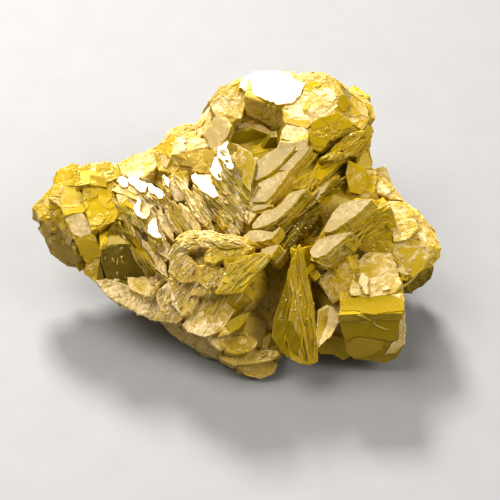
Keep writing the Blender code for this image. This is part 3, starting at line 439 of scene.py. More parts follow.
def placed(mesh, finish, grain, kinds, materials):
    """The flat-faced mesh as an object, with its finish and its place along the grain at every corner."""
    for label, kind, field, values in (("finish", "FLOAT_COLOR", "color", finish),
                                       ("grain", "FLOAT_VECTOR", "vector", grain)):
        layer = mesh.attributes.new(label, kind, "CORNER")
        layer.data.foreach_set(field, values.astype(np.float32).reshape(-1))
    mesh.shade_flat()
    for own in materials:
        mesh.materials.append(own)
    mesh.polygons.foreach_set("material_index", kinds.astype(np.int32))
    made = bpy.data.objects.new(mesh.name, mesh)
    bpy.context.scene.collection.objects.link(made)
    return made


def piece(name, points, triangles, finish, grain, kinds, materials):
    """An object of these triangles, which meets its neighbours along the edges of the crystal faces."""
    used, index = np.unique(triangles, return_inverse=True)
    mesh = bpy.data.meshes.new(name)
    mesh.vertices.add(len(used))
    mesh.vertices.foreach_set("co", points[used].astype(np.float32).reshape(-1))
    mesh.loops.add(triangles.size)
    mesh.loops.foreach_set("vertex_index", index.reshape(-1).astype(np.int32))
    mesh.polygons.add(len(triangles))
    mesh.polygons.foreach_set("loop_start", np.arange(0, triangles.size, 3, dtype=np.int32))
    mesh.update(calc_edges=True)
    return placed(mesh, finish, grain, kinds, materials)


def cluster(solid, materials):
    """The whole cluster as pieces: its raised faces in slices, and the thin crystals that lie on them."""
    body = solid_faces(solid)
    surface = BVHTree.FromBMesh(body)
    faces = Faces(body)
    points = np.array([v.co for v in body.verts])
    corners = [loop.vert.index for tri in body.calc_loop_triangles() for loop in tri]
    owner = np.array([tri[0].face.index for tri in body.calc_loop_triangles()])
    body.free()
    pitch = np.where(faces.normal[:, 2] < HIDDEN_FROM, HIDDEN_PITCH, SHOW_PITCH)
    points, triangles, owner = cut_fine(points, np.array(corners).reshape(-1, 3), owner, pitch)
    middle = faces.centre[owner, 0]
    points, finish, grain = raised(points, triangles, owner, faces)
    points = flattened(points)
    kinds = np.where((faces.frost[owner] > DULL_FROM) & (faces.relief[owner] > CALM), DULL, PLAIN)
    pieces, low = [], -np.inf
    for name, high in SLICES.items():
        mine = (middle >= low) & (middle < high)
        corner = np.repeat(mine, 3)
        pieces.append(piece(name, points, triangles[mine], finish[corner], grain[corner], kinds[mine],
                            materials))
        low = high
    return pieces + [dress(surface).made(materials) for dress in DRESSES]


# ------------------------ thin crystals laid on the cluster


# The pale edge round each sheet's top is partly frost and partly a painted edge highlight.
CHAMFER = 0.04                   # the width of the bright broken edge round the top of a sheet
EDGE_DOWN = 0.1                  # how far down that edge goes, as a share of a layer
LIP_FROST_AND_HIGHLIGHT = 0.3                  # how much more frosted that edge is
TOOTH = 0.4                      # the length of the teeth of a ragged edge
STEP = 0.7                       # a crystal that would bridge a step this high is left out
LEDGE = 0.12                     # about how far one layer of a crystal stands out from under the next
SHOWS = 0.25                     # a face that shows less than this to the viewer doesn't steer a sheet
ALIKE = 0.2                      # slopes and heights this near each other belong to one face
SHEET_PROBES = (0.1, 0.45, 0.75)          # where the ground is felt, from the middle to each corner
BLADE_PROBES = (0.1, 0.35, 0.6, 0.9)      # where it is felt from the tip to the heel
STEEPEST = 0.7                   # the steepest slope that a blade follows
SALTS = 50                       # how far apart in the grain's noise two crystals may lie
# The share of the way from tip to heel, None at the belly, and how wide the blade is there.
BLADE_SHAPE = ((0, 0.15), (0.18, 0.7), (None, 1.0), (0.82, 0.8), (1, 0.25))
FROM_VIEWER = Vector((0, 0, -1))
VIEWER_OUT = 60.0
WALL_FROST, WALL_OLIVE = 0.5, 0.15        # a wall's share of the top's frost, and how much more olive it is
LAYER_SPREAD = 0.15              # how far the finish strays from one layer to the next
TOOTH_SHIFT = 0.3                # how far a tooth is shifted along its side, in teeth
# Finishes of the laid crystals, besides those of the places.
BEIGE, GOLDEN, DARK, MIXED = (0.62, 0.55, 0.1), (0.15, 0.1, 0), (0, 0.7, 0.05), (0.5, 0.25, 0.05)


def ragged(outline, rag, dice):
    """The outline, running anticlockwise, with its sides broken into small uneven teeth."""
    outline = [Vector(p) for p in outline]
    area = sum(a.cross(b) for a, b in zip(outline, outline[1:] + outline[:1]))
    if area < 0:
        outline.reverse()
    made = []
    for a, b in zip(outline, outline[1:] + outline[:1]):
        run = b - a
        side = Vector((run.y, -run.x)).normalized()
        count = max(1, round(run.length / TOOTH))
        for k in range(count):
            share = (k + dice.uniform(-TOOTH_SHIFT, TOOTH_SHIFT) * (k > 0)) / count
            made.append(a + run * share + side * dice.uniform(-rag, rag))
    return made


def blade_outline(tip, heel, width, belly):
    """A long blade from its tip to its heel, with blunt ends. The belly says where it is widest."""
    run = heel - tip
    side = Vector((-run.y, run.x)).normalized() * width / 2
    shape = [(belly if along is None else along, swell) for along, swell in BLADE_SHAPE]
    left = [tip + run * along + side * swell for along, swell in shape]
    right = [tip + run * along - side * swell for along, swell in shape]
    return left + right[::-1]


class Crystals:
    """Thin crystals on the cluster, gathered in one mesh. Each is a closed body of its own."""

    def __init__(self, name, surface, seed, kind=PLAIN, lip_highlight=LIP_FROST_AND_HIGHLIGHT):
        self.name, self.surface, self.dice = name, surface, random.Random(seed)
        self.points, self.faces, self.finish, self.grain = [], [], [], []
        self.kind, self.kinds, self.lip_highlight = kind, [], lip_highlight

    def ground(self, across, up):
        """The place and the face of the cluster that shows at this place, if there is one."""
        place, normal, _, _ = self.surface.ray_cast(Vector((across, up, VIEWER_OUT)), FROM_VIEWER)
        return place, normal

    def bears(self, outline, plane):
        """Whether the cluster lies close behind the plane at every corner of the outline."""
        middle, height, east, north = plane
        for corner in outline:
            place, _ = self.ground(*corner)
            if place is None or height - (corner - middle).dot((east, north)) - place.z > STEP:
                return False
        return True

    def resting(self, outline, face):
        """A plane over an outline: that of the face of the cluster which lies under most of it, or one that
        faces the way given by face. It is its middle, its height there and its slopes."""
        middle = sum((Vector(p) for p in outline), Vector((0, 0))) / len(outline)
        found = []
        for corner in outline:
            for share in SHEET_PROBES:
                spot = middle.lerp(Vector(corner), share)
                place, normal = self.ground(*spot)
                if place is not None and normal.z > SHOWS:
                    fall = normal.x * (spot.x - middle.x) + normal.y * (spot.y - middle.y)
                    found.append((normal.x / normal.z, normal.y / normal.z, place.z + fall / normal.z))
        if not found:
            return None
        table = np.array(found)
        votes = [(np.abs(table - row).max(axis=1) < ALIKE).sum() for row in table]
        east, north, height = table[int(np.argmax(votes))]
        if face is not None:
            normal = facing(*face)
            east, north = normal.x / normal.z, normal.y / normal.z
        return middle, height, east, north

    def sheet(self, outline, finish, stand=0.15, thick=0.5, rag=0.06, face=None, heading=45.0, plane=None,
              layers=1, draw=None, wall=None):
        """One crystal that stands out from the face below it, in one layer or more. The draw is the way
        from its top to its foot, straight in unless it is given."""
        plane = plane or self.resting(outline, face)
        if plane is None:
            return
        middle, height, east, north = plane
        normal = Vector((east, north, 1)).normalized()
        ring = ragged(outline, rag, self.dice)
        depths = [height - east * (p.x - middle.x) - north * (p.y - middle.y) for p in ring]
        top = [Vector((p.x, p.y, depth)) + normal * stand for p, depth in zip(ring, depths)]
        frost, olive, tan = finish
        wall = wall or (frost * WALL_FROST, min(1, olive + WALL_OLIVE), tan)
        self.solid(top, normal, (Vector(draw) if draw else -normal) * thick, finish, wall, heading, layers)

    def solid(self, top, normal, draw, finish, wall, heading, layers):
        """A closed body below the ring of its top, with a small ledge between each layer and the next."""
        count, first = len(top), len(self.points)
        outward = []
        for before, here, after in zip(top[-1:] + top[:-1], top, top[1:] + top[:1]):
            along = (here - before).normalized() + (after - here).normalized()
            outward.append(along.cross(normal).normalized())
        frost, olive, tan = finish
        rings = [[p - o * CHAMFER for p, o in zip(top, outward)]]
        colours = [(min(1, frost + self.lip_highlight), olive, tan)]
        for layer in range(layers):
            jog = self.dice.uniform(-1, 1) * LEDGE if layer else 0
            rags = [o * (jog + self.dice.uniform(-0.5, 0.5) * LEDGE * (layer > 0)) for o in outward]
            for share, colour in ((max(layer, EDGE_DOWN) / layers, wall), ((layer + 1) / layers, DARK)):
                rings.append([p + draw * share + r for p, r in zip(top, rags)])
                colours.append(colour)
            wall = varied(wall, lambda: self.dice.uniform(-LAYER_SPREAD, LAYER_SPREAD))
        for ring in rings:
            self.points += ring
        self.add([first + i for i in range(count)], finish, heading)
        for step, colour in enumerate(colours[:-1]):
            low = first + step * count
            for i in range(count):
                j = (i + 1) % count
                self.add([low + i, low + i + count, low + j + count, low + j], colour, heading)
        self.add([first + len(rings) * count - 1 - i for i in range(count)], wall, heading)

    def add(self, corners, finish, heading):
        """Adds one face, with its grain along the heading."""
        self.faces.append(corners)
        self.kinds.append(self.kind)
        along = heading_vector(math.radians(heading))
        salt = self.dice.uniform(0, SALTS)
        for v in corners:
            p = self.points[v]
            self.finish.append((*finish, 1))
            across = p.y * along.x - p.x * along.y
            self.grain.append((p.x * along.x + p.y * along.y, across + p.z, salt))

    def blade(self, tip, heel, width, finish, stand=0.15, thick=0.5, roll=0.3, rag=0.04, belly=0.5):
        """A long blade that follows the cluster from tip to heel, raised along one side by the roll."""
        tip, heel = Vector(tip), Vector(heel)
        run = heel - tip
        heights = []
        for share in BLADE_PROBES:
            place, _ = self.ground(*(tip + run * share))
            if place is not None:
                heights.append((share, place.z))
        if len(heights) < 2:
            return
        slope, start = np.polyfit(*zip(*heights), 1)
        if max(abs(start + slope * share - height) for share, height in heights) > STEP:
            return
        slope = max(-STEEPEST * run.length, min(STEEPEST * run.length, slope))
        side = Vector((-run.y, run.x)).normalized()
        grade = run.normalized() * (slope / run.length) + side * roll
        plane = ((tip + heel) / 2, start + slope / 2, -grade.x, -grade.y)
        self.sheet(blade_outline(tip, heel, width, belly), finish, stand, thick, rag,
                   heading=math.degrees(math.atan2(run.y, run.x)), plane=plane)

    def made(self, materials):
        """The object, with its finish on every corner."""
        mesh = bpy.data.meshes.new(self.name)
        places = flattened(np.array([tuple(p) for p in self.points]))
        mesh.from_pydata([tuple(p) for p in places], [], self.faces)
        return placed(mesh, np.array(self.finish), np.array(self.grain), np.array(self.kinds), materials)


LAMP_FACE = (-9, 46)             # a face that lies this way mirrors the lamp behind the cluster
BRIGHT_FACES = {
    "crown": ((-1.5, 22.6), (-1.1, 23.9), (0.4, 24.8), (3.2, 25.1), (5.8, 24.7), (6.4, 23.6), (7.9, 23.2),
        (7.4, 21.8), (6.2, 20.4), (4.4, 19.9), (2.6, 20.6), (0.8, 21.4)),
    "crest_far": ((-18.6, 9.4), (-18.1, 10.1), (-17.3, 9.9), (-17, 9.5), (-17, 8.8), (-17.6, 8.4),
        (-18.1, 8.8)),
    "crest": ((-17, 9.4), (-16.8, 10), (-15.7, 9.9), (-15.1, 9.3), (-14.5, 9), (-14.3, 8.4), (-14.7, 7.7),
        (-15.2, 7.6), (-15.8, 8.2), (-16.6, 8.7)),
    "crest_near": ((-14.4, 8.9), (-13.8, 9), (-13, 8.4), (-12, 7.7), (-12.2, 6.9), (-12.7, 6.9),
        (-13.3, 7.5), (-14, 7.8)),
    "crest_chip": ((-12.2, 10.3), (-11.6, 9.9), (-11.2, 9.4), (-11.4, 8.5), (-11.8, 8.9)),
    "ring": ((-16.2, 5.2), (-15.5, 6.9), (-15, 6.2), (-15.3, 5), (-14.6, 4.2), (-14.2, 3.9), (-15.2, 4),
        (-15.9, 4.6)),
    "ring_end": ((-14.4, 6.7), (-13.8, 6.7), (-13.4, 5.9), (-13.9, 5.6)),
    "drop": ((-13.6, 4.7), (-13.2, 4.4), (-12.9, 3.4), (-12.7, 2.2), (-12.1, 1.2), (-13.2, 1.1), (-14.2, 2),
        (-14.1, 3.2)),
    "barb_top": ((-4.6, 14), (-3.9, 14.9), (-3.1, 15.2), (-3.1, 13.8), (-2.6, 12.4), (-2.1, 11.4),
        (-2.5, 11), (-3.3, 11.3), (-3.8, 12.3), (-4.4, 12.7)),
    "barb_low": ((-5, 13.1), (-4.5, 13), (-4.2, 12.2), (-3.6, 11.5), (-3.6, 10.8), (-3.9, 10), (-3.8, 9.4),
        (-4.4, 9.5), (-5.2, 10.3), (-5.5, 11), (-5.2, 12)),
    "barb_glossy": ((-8.1, 10.1), (-7.6, 10.5), (-6.6, 9.9), (-5.4, 9), (-4.7, 8.4), (-4.4, 7.2), (-5, 6.9),
        (-5.8, 7.3), (-6.6, 7.9), (-7.6, 8.9), (-8.1, 9.6)),
    # Hidden from the lamp: its near-white finish paints the glint.
    "right_spark_low": ((18.1, -5.4), (19, -5.2), (19.3, -5.6), (18.4, -5.9)),
}
# How far they stand out, and how far those do that are not in this list.
BRIGHT_STANDS = {"crown": 0.7, "crest_far": 0.45, "crest": 0.6, "crest_near": 0.5, "ring": 0.75,
                 "drop": 0.85}
BRIGHT_STAND = 0.42
# A pale sheet that mirrors only the soft overhead lamp: its near-white finish paints the glint.
RIGHT_PAINTED_GLINT = ((15.1, -4.8), (15.5, -3.7), (16, -3.4), (16.6, -4.3), (16.4, -5.2), (16.6, -6.3),
               (16.1, -6.5), (15.6, -5.6))


def bright_faces(surface):
    """The faces that catch the light, on the crest, the crown, the left fan and the right-hand mass."""
    crystals = Crystals("bright_faces", surface, 11, GLOSSY)
    # Their near-white finish partly paints the glint that the lamp makes on them.
    for name, outline in BRIGHT_FACES.items():
        stand = BRIGHT_STANDS.get(name, BRIGHT_STAND)
        crystals.sheet(outline, RIME_AND_GLINT, rag=0.13, stand=stand, thick=stand * 2, face=LAMP_FACE, heading=-20)
    crystals.sheet(RIGHT_PAINTED_GLINT, RIME_AND_GLINT, rag=0.13, stand=0.9, thick=1.6, face=(-14, 24))
    return crystals


KEEL = ((0.5, 9.4), (0.2, 8), (-0.1, 6.6), (-0.6, 5), (-1, 3.4), (-1.8, 1.2))
FEATHER_ROWS, FEATHER_STEPS = 17, 3
# The heading of the barbs in degrees, how much it bends midway down the keel, and how far each one strays.
FEATHER_HEADING, FEATHER_BEND, FEATHER_STRAY = -44, 6, 4
FEATHER_FINISHES = ((0.35, 0.7, 0), (0.6, 0.5, 0), (0.7, 0.3, 0))
# The longest barbs: tip, heel and width.
BARBS = (
    ((-9, 9), (-5, 3.6), 1.5), ((-9.4, 6.8), (-6.4, 1.9), 0.9), ((-8, 5.4), (-5.6, 1.9), 0.8),
    ((-10.4, 6.6), (-7.2, 2.1), 0.8), ((-11, 6.8), (-8.2, 2.2), 0.7), ((-11.6, 6.4), (-9.4, 2), 0.7),
    ((-6.6, 4.6), (-4.4, 1.4), 0.8), ((-5.8, 5), (-3.6, 1.3), 0.8), ((-5.2, 4.2), (-2.8, 1.2), 0.7),
)


def left_feather(surface):
    """Thin blades stacked like barbs left of the keel, which run down to the right."""
    crystals = Crystals("left_feather", surface, 12, GLOSSY)
    dice = crystals.dice
    for row in range(FEATHER_ROWS):
        share = row / (FEATHER_ROWS - 1)
        spot = share * (len(KEEL) - 1)
        low = min(int(spot), len(KEEL) - 2)
        heel = Vector(KEEL[low]).lerp(Vector(KEEL[low + 1]), spot - low)
        bend = FEATHER_BEND * math.sin(3 * share)
        heading = FEATHER_HEADING - bend + dice.uniform(-FEATHER_STRAY, FEATHER_STRAY)
        along = heading_vector(math.radians(heading))
        for step in range(FEATHER_STEPS):
            end = heel - along * (step * dice.uniform(1.5, 2.0)) + Vector((dice.uniform(-0.1, 0.1), 0))
            length = dice.uniform(2.0, 3.2)
            finish = dice.choice(FEATHER_FINISHES)
            crystals.blade(end - along * length, end, dice.uniform(0.5, 0.8), finish,
                           stand=0.25 + 0.12 * step, thick=0.7, roll=-0.45, belly=0.4)
    for tip, heel, width in BARBS:
        finish = (dice.uniform(0.5, 0.75), dice.uniform(0.2, 0.5), 0)
        crystals.blade(tip, heel, width, finish, stand=0.45, thick=0.8, roll=-0.25, belly=0.45)
    return crystals


DOWN_RIGHT = (0.5, -0.6, -0.62)
VANES = {
    "top": ((0.6, 10.4), (1.1, 11.2), (1, 12.1), (2.6, 13.4), (3.8, 14.1), (6.4, 14.4), (5.6, 13.2),
        (4.8, 12.5), (4.4, 11.9), (3.8, 11.4), (3, 10.7), (2.4, 10.2), (1.4, 9.8), (0.7, 9.6)),
    "top_right": ((4.1, 11), (5.2, 12.1), (6.3, 13.3), (7.2, 14.3), (8.4, 14.2), (7.6, 13), (6.6, 12),
        (6, 11.2), (5.2, 10.9)),
    "upper": ((0.5, 7), (1.6, 8.5), (1.1, 9.1), (2.2, 9.6), (3.4, 10.1), (4.4, 10.7), (5.6, 11.1),
        (5.2, 10.3), (4.6, 9.4), (3.9, 8.6), (3.4, 7.8), (2.6, 6.9), (2, 6.5), (0.4, 6.6)),
    "sliver": ((0.2, 5.5), (0.9, 6.1), (2.2, 6.2), (3.2, 6.1), (2, 5.6), (0.5, 5.2)),
    "long": ((0.3, 3.2), (0.9, 4.1), (2, 5.2), (3.4, 5.6), (4.3, 6.1), (5, 7), (5.8, 7.8), (7.2, 8.3),
        (8.1, 8.4), (7.2, 7.6), (6.4, 6.5), (5.8, 5.8), (4.8, 4.9), (4, 4.2), (3, 3.6), (1.8, 3.1),
        (0.6, 2.8)),
    "low": ((-1.4, 1), (-0.2, 2.4), (0.9, 2.6), (2, 2.5), (3.2, 2.3), (4.2, 3), (3.6, 2), (3, 1.4),
        (2.2, 1.1), (0, 0.9)),
    "lowest": ((1.6, -0.1), (2.6, 0.3), (4.2, 0.6), (3.4, -0.4), (2.8, -1), (2.2, -0.8)),
    "small": ((8.9, 7), (9.3, 8.1), (10.2, 8.8), (11.2, 9.3), (10.3, 8), (9.4, 6.8)),
    "petal_top": ((10.2, 2.3), (10.7, 3.6), (11.6, 5), (12.6, 6.1), (14, 6.7), (16, 6.9), (17, 6.8),
        (16.2, 6.1), (15.5, 5.4), (14.6, 4.6), (13.4, 3.7), (12.2, 2.9), (11.2, 2.3)),
    "petal_low": ((8.3, -0.3), (8.7, 0.3), (9.6, 1.3), (11, 1.8), (12.6, 2.1), (14.2, 2.3), (13, 1.4),
        (12.2, 0.7), (11.4, 0.1), (10.4, -0.8), (9.4, -1.2), (8.6, -1.1)),
}


def right_vanes(surface):
    """Broad beige sheets right of the keel, each on golden layers that show below it."""
    crystals = Crystals("right_vanes", surface, 13, GLOSSY)
    for outline in VANES.values():
        crystals.sheet(outline, BEIGE, stand=0.42, thick=1.8, rag=0.07, heading=42, layers=5,
                       draw=DOWN_RIGHT, wall=GOLDEN)
    return crystals


# Finish, heading of the grain, how far the face stands out, and its outline.
BROAD_FACES = {
    "door_top": ((0.9, 0.5, 0.1), 10, 0.3, (4.3, 15.4), (4.6, 16.9), (5.2, 17.4), (7.2, 17.1), (8.4, 16.6),
        (8.1, 15.6), (6, 15.1)),
    "kite": ((0.6, 0.6, 0.15), 60, 0.2, (-6.45, 16.4), (-4.76, 18.86), (-3.3, 18.2), (-2.76, 16.7),
        (-4, 14.6), (-4.76, 13.3), (-5.6, 14.4)),
    # The door's front faces down into shade; its full frost paints the light that shines through the
    # crystal.
    "door_front": ((1, 0, 0), 0, 0.15, (3.7, 13.8), (4.2, 15.2), (6, 15.1), (8.1, 15.6), (8, 14.1),
        (5.8, 14.3)),
    "window": ((0, 0.35, 0), 60, 0.3, (12.2, 20.8), (12.7, 21.9), (13.7, 21.6), (14, 20.6), (13.4, 19.6),
        (13, 19.3), (12.5, 19.9)),
    "crown_gold": ((0.3, 0.1, 0), 40, 0.12, (8.3, 17.6), (9.4, 18.4), (11, 18.8), (12.4, 19.3),
        (12.9, 18.8), (11.9, 17.8), (10.4, 17.2), (8.9, 16.8)),
    "crown_amber": ((0.1, 0.2, 0), 40, 0.12, (8.2, 16.5), (10.2, 16.9), (11.6, 17.5), (12, 16.5),
        (11, 15.2), (10.2, 14.5), (8.6, 14.5)),
    "crown_edge": ((0.5, 0.1, 0), 60, 0.12, (12.3, 17.9), (13.2, 18.6), (14.2, 18.1), (14.3, 17.1),
        (12.8, 16.8), (12.2, 17.2)),
    "crown_cream": ((1, 0.1, 0.1), 20, 0.15, (5.4, 19.9), (6.8, 21.1), (8, 21.6), (9.8, 21.4), (11.3, 20.6),
        (11.2, 19.2), (10, 18.8), (8.4, 18.3), (6, 18.6), (5.2, 18.4)),
    "crown_strip": ((0.5, 0.15, 0.2), 0, 0.2, (5.1, 18.3), (8.3, 18.2), (8.6, 17.4), (8.1, 16.9),
        (6.2, 17.4), (5, 17.8)),
    "crown_patch": ((0.2, 0, 0), 20, 0.15, (8.2, 22.4), (8.2, 23.7), (9.4, 23.8), (10.2, 23.4), (9.4, 22.8),
        (9, 22.2)),
    "crown_slope": ((0.75, 0.2, 0.05), 40, 0.15, (9, 22.1), (10.4, 22.9), (11.6, 22.6), (12.2, 21.2),
        (11.5, 20.8), (10, 21.5)),
    "crown_shoulder": ((0.75, 0, 0.1), -50, 0.15, (14.3, 21.6), (16, 20.6), (16.7, 19.6), (16.6, 18.7),
        (15.8, 18.9), (14.8, 19.9), (14.1, 20.4)),
    "crown_notch": ((0.2, 0.4, 0.7), 50, 0.2, (10.1, 13.9), (11.4, 15.2), (12.2, 16.2), (12.9, 15.4),
        (12.2, 14.4), (11.2, 13.8)),
    "arm_crest": ((0.45, 0, 0), 0, 0.12, (-24.3, 10.8), (-22.5, 11.4), (-20.6, 11.1), (-20.9, 9.9),
        (-22.2, 9.1), (-24.2, 9.2)),
    "arm_knob": ((0.15, 0.1, 0), 20, 0.12, (-26.8, 10.5), (-25.5, 11), (-25.1, 9.8), (-25.9, 9.5),
        (-26.7, 9.8)),
    "crest_foot": ((0.8, 0.05, 0.1), -25, 0.4, (-19.4, 8.2), (-18.3, 9), (-17, 8.9), (-15.2, 8.1),
        (-14.7, 7.3), (-15.6, 6.7), (-17.2, 7.4), (-18.6, 7.9)),
    "crest_ribs": ((0.5, 0.1, 0.1), -30, 0.45, (-14.9, 9.7), (-13.6, 9.4), (-12.5, 8.5), (-12, 8),
        (-12.2, 9), (-13, 10), (-12.8, 10.8), (-13.6, 11.4), (-14.6, 10.8)),
    "ring_lens": ((1, 0.1, 0), -60, 0.45, (-15.1, 5.2), (-15.1, 6.1), (-14.7, 6.5), (-14.1, 6.2),
        (-13.9, 5.4), (-14, 4.6), (-14.3, 4.2), (-14.8, 4.4)),
    "column_gold": ((0.5, 0, 0), -60, 0.15, (-23.2, 7.4), (-22.6, 8.7), (-20.6, 8.8), (-19.4, 7.6),
        (-18.4, 5.2), (-18.8, 4.2), (-19.9, 3.9), (-20.9, 2.9), (-21.6, 3.4), (-22.4, 4.4), (-22.9, 6.1)),
    "column_cream": ((0.95, 0.2, 0.2), 15, 0.2, (-25.8, 4.7), (-23.4, 5.2), (-23, 4.6), (-22.2, 3.6),
        (-21.8, 2.4), (-22.6, 2), (-23.9, 1.8), (-24.6, 2.1), (-25, 2.6)),
    "column_bar": ((0.1, 0.1, 0), 20, 0.25, (-26.1, 5.1), (-25.6, 5.4), (-23.5, 6.3), (-23.2, 6.6),
        (-22.9, 5.6), (-23.3, 5.2), (-25.8, 4.7)),
    "column_top": ((0.55, 0.05, 0.1), 20, 0.15, (-26.6, 7.2), (-26.2, 8.7), (-24.4, 8.9), (-23.3, 7.2),
        (-23.5, 6.3), (-25.6, 5.4), (-26.3, 5.3)),
    "arm_stair": ((0.4, 0.1, 0.1), 0, 0.15, (-24.3, 1.4), (-22.6, 1.7), (-21.4, 1.3), (-20.6, 0.1),
        (-20.9, -1), (-22.1, -1.4), (-23.2, -1), (-23.8, 0)),
    "arm_strip": ((0.1, 0.35, 0), -60, 0.15, (-27.9, 5), (-26.9, 6.4), (-26.3, 5.4), (-26, 4.4),
        (-25.2, 2.4), (-26, 2.6), (-26.9, 3.4)),
    "arm_shade": ((0, 0.95, 0.3), -70, 0.1, (-28, 3.4), (-27, 3.2), (-25.2, 2.2), (-24.9, 1.4), (-24.2, 0),
        (-23.6, -1.4), (-24.4, -1.9), (-26.2, -1.5), (-27.2, -0.6), (-27.9, 1)),
    "rhomb_side": ((0, 0.35, 0), 60, 0.15, (-20.9, 2.7), (-20, 3.6), (-18.9, 3.9), (-19.3, 2.6), (-20, 0.6),
        (-20.4, 0.9), (-20.8, 1.6)),
    "rhomb_roof": ((0, 0.75, 0), 0, 0.15, (-18.9, 3.8), (-18.1, 3.2), (-17.2, 1.8), (-16.6, 0.8),
        (-18.6, 0.7), (-20, 0.4), (-19.3, 2.6)),
    # The hollow's face is dark olive, partly its own colour and partly painted shade in the hollow.
    "hollow_face": ((0, 0.8, 0), 30, 0.1, (-3.2, 15.8), (-2.6, 16.4), (-1, 16.9), (0.6, 17), (2.8, 16.2),
        (1.6, 14.6), (0.5, 13.4), (-1, 14.2), (-3, 15.4)),
    "ledge": ((0.8, 0.2, 0.3), 20, 0.1, (-1.8, 17.3), (-0.3, 18.6), (1.2, 18), (2.9, 16.9), (2.8, 16.3),
        (0.6, 17), (-1, 16.9)),
    # The lintel faces down into shade; its pale frost partly paints the light that shines through the
    # crystal.
    "lintel": ((0.7, 0, 0), -30, 0.1, (-0.7, 21.6), (1, 21), (2.6, 20.6), (4.2, 20), (5, 18.6), (4.9, 17.8),
        (3, 17), (2.4, 18)),
    "broad_blade": ((0.62, 0.4, 0), 60, 0.3, (-3, 15.2), (-1.5, 14.6), (0.3, 13.4), (0.9, 12), (0.6, 10.8),
        (0.3, 9.2), (0.2, 8), (-1, 9.3), (-2.2, 10.8), (-2.6, 12.2), (-3, 13.5)),
    "block_top": ((0, 0.38, 0), 90, 0.1, (12.4, -8.4), (13.2, -6.9), (15.2, -6.4), (18, -6), (20.9, -5.9),
        (21.2, -8.4), (18.8, -8.6), (16.6, -8.9), (14.6, -8.4)),
    "block_upper": ((0, 0.4, 0), 80, 0.15, (12.5, -8.9), (14.6, -8.6), (16.6, -9.1), (18.8, -8.7),
        (20.6, -8.7), (20.4, -12.6), (18.8, -12.4), (16.8, -12), (14.6, -11.8), (13.2, -12.6),
        (12.6, -11.2)),
    "block_lower": ((0.15, 0.35, 0.1), 20, 0.1, (13.2, -12.8), (14.6, -12.1), (16.8, -12.3), (18.6, -12.7),
        (18.2, -13.8), (16.8, -14.6), (14.6, -15), (13.4, -14.2)),
    "block_rim": ((0.8, 0.1, 0.3), 80, 0.1, (20.6, -8.7), (21.3, -8.6), (21.5, -11.2), (21.4, -13),
        (20.2, -14.2), (18.8, -14.4), (19.6, -12.9), (20.5, -12.4)),
    "wedge_light": ((1, 0, 0), 60, 0.25, (10.9, -8), (12, -8.6), (12.4, -9.6), (11.4, -11.6), (9.4, -13.5),
        (9.6, -12.4), (10.6, -10.4)),
    "wedge_gold": ((0.5, 0.1, 0.1), 80, 0.15, (9.7, -8.4), (10.7, -8), (10.4, -10.2), (9.5, -12.2),
        (9.2, -13), (9.3, -10.6)),
    "leaf_left": ((0.05, 0.5, 0), 80, 0.1, (5, -4), (4.2, -7), (3.4, -10), (3.2, -12), (4, -13.5),
        (5.2, -15), (5.6, -14.5), (4.6, -12), (4.8, -9), (5.4, -6)),
    "leaf_lens": ((0, 0.75, 0), 70, 0.35, (5, -9.5), (5.6, -9.6), (7, -13), (6.4, -14.4), (5.4, -13.2),
        (4.8, -11)),
    "right_olive": ((0.75, 0, 0), 60, 0.1, (9.6, -4.2), (11, -3), (12.8, -1.6), (13.8, -1.8), (14.4, -3.4),
        (14.4, -5.6), (12.9, -6.6), (11.7, -6.9), (10.8, -5.8)),
    "right_gold": ((0.35, 0.1, 0), -40, 0.1, (21.2, -4.3), (20.4, -1.8), (21, 0.6), (23, 0.2), (24.8, -0.8),
        (24.2, -2.6), (22.4, -4)),
    "gold_plane": (GLOWING, 45, 0.25, (8.2, 10.2), (9.6, 12.6), (11.4, 13.2), (12.8, 12.4), (11.6, 11),
        (9.8, 9.6)),
}
BROAD_GLOSSY = ("kite", "broad_blade", "ledge")
BROAD_FACINGS = {"door_top": (10, 28), "crest_foot": (-9, 28), "crest_ribs": (-9, 22),
                 "ring_lens": (-9, 33)}
# A dark sheet that faces down between the hollow's face and the top vane: a painted shadow in that gap.
HOLLOW_SHADOW_STRIP = ((2.8, 16.3), (3.8, 16.4), (3.8, 15.2), (2.9, 14.4), (1.9, 13.7), (0.6, 12.9), (0.4, 13.4),
                (1.6, 14.6))
RIBBON_END = 0.35                # how wide the end of a ribbon is, as a share of its width
# The pale cracks on the block and the ribs of the leaf: width and line.
RIBBONS = (
    (0.25, (14.7, -8.8), (15.4, -9), (16.5, -9.5)),
    (0.2, (15, -10), (15.6, -9.8), (16.1, -9.9)),
    (0.18, (17, -9.8), (17.5, -10.4), (18.3, -10.7), (19.4, -10.9)),
    (0.35, (6.7, 0.2), (7.2, -4), (8.4, -8), (9, -12), (8.8, -15)),
    (0.3, (6.2, -1.2), (6.2, -4), (6.8, -8), (7.6, -12), (8.2, -15.2)),
    (0.25, (5.4, -4.2), (5.6, -7), (5, -9.4), (4.7, -11.4)),
)


def ribbon(points, width):
    """The outline of a thin curved strip along these points, which narrows to its ends."""
    points = [Vector(p) for p in points]
    left, right = [], []
    for before, here, after in zip(points[:1] + points[:-1], points, points[1:] + points[-1:]):
        side = Vector((before.y - after.y, after.x - before.x)).normalized()
        swell = width / 2 * (RIBBON_END if here in (points[0], points[-1]) else 1)
        left.append(here + side * swell)
        right.append(here - side * swell)
    return left + right[::-1]


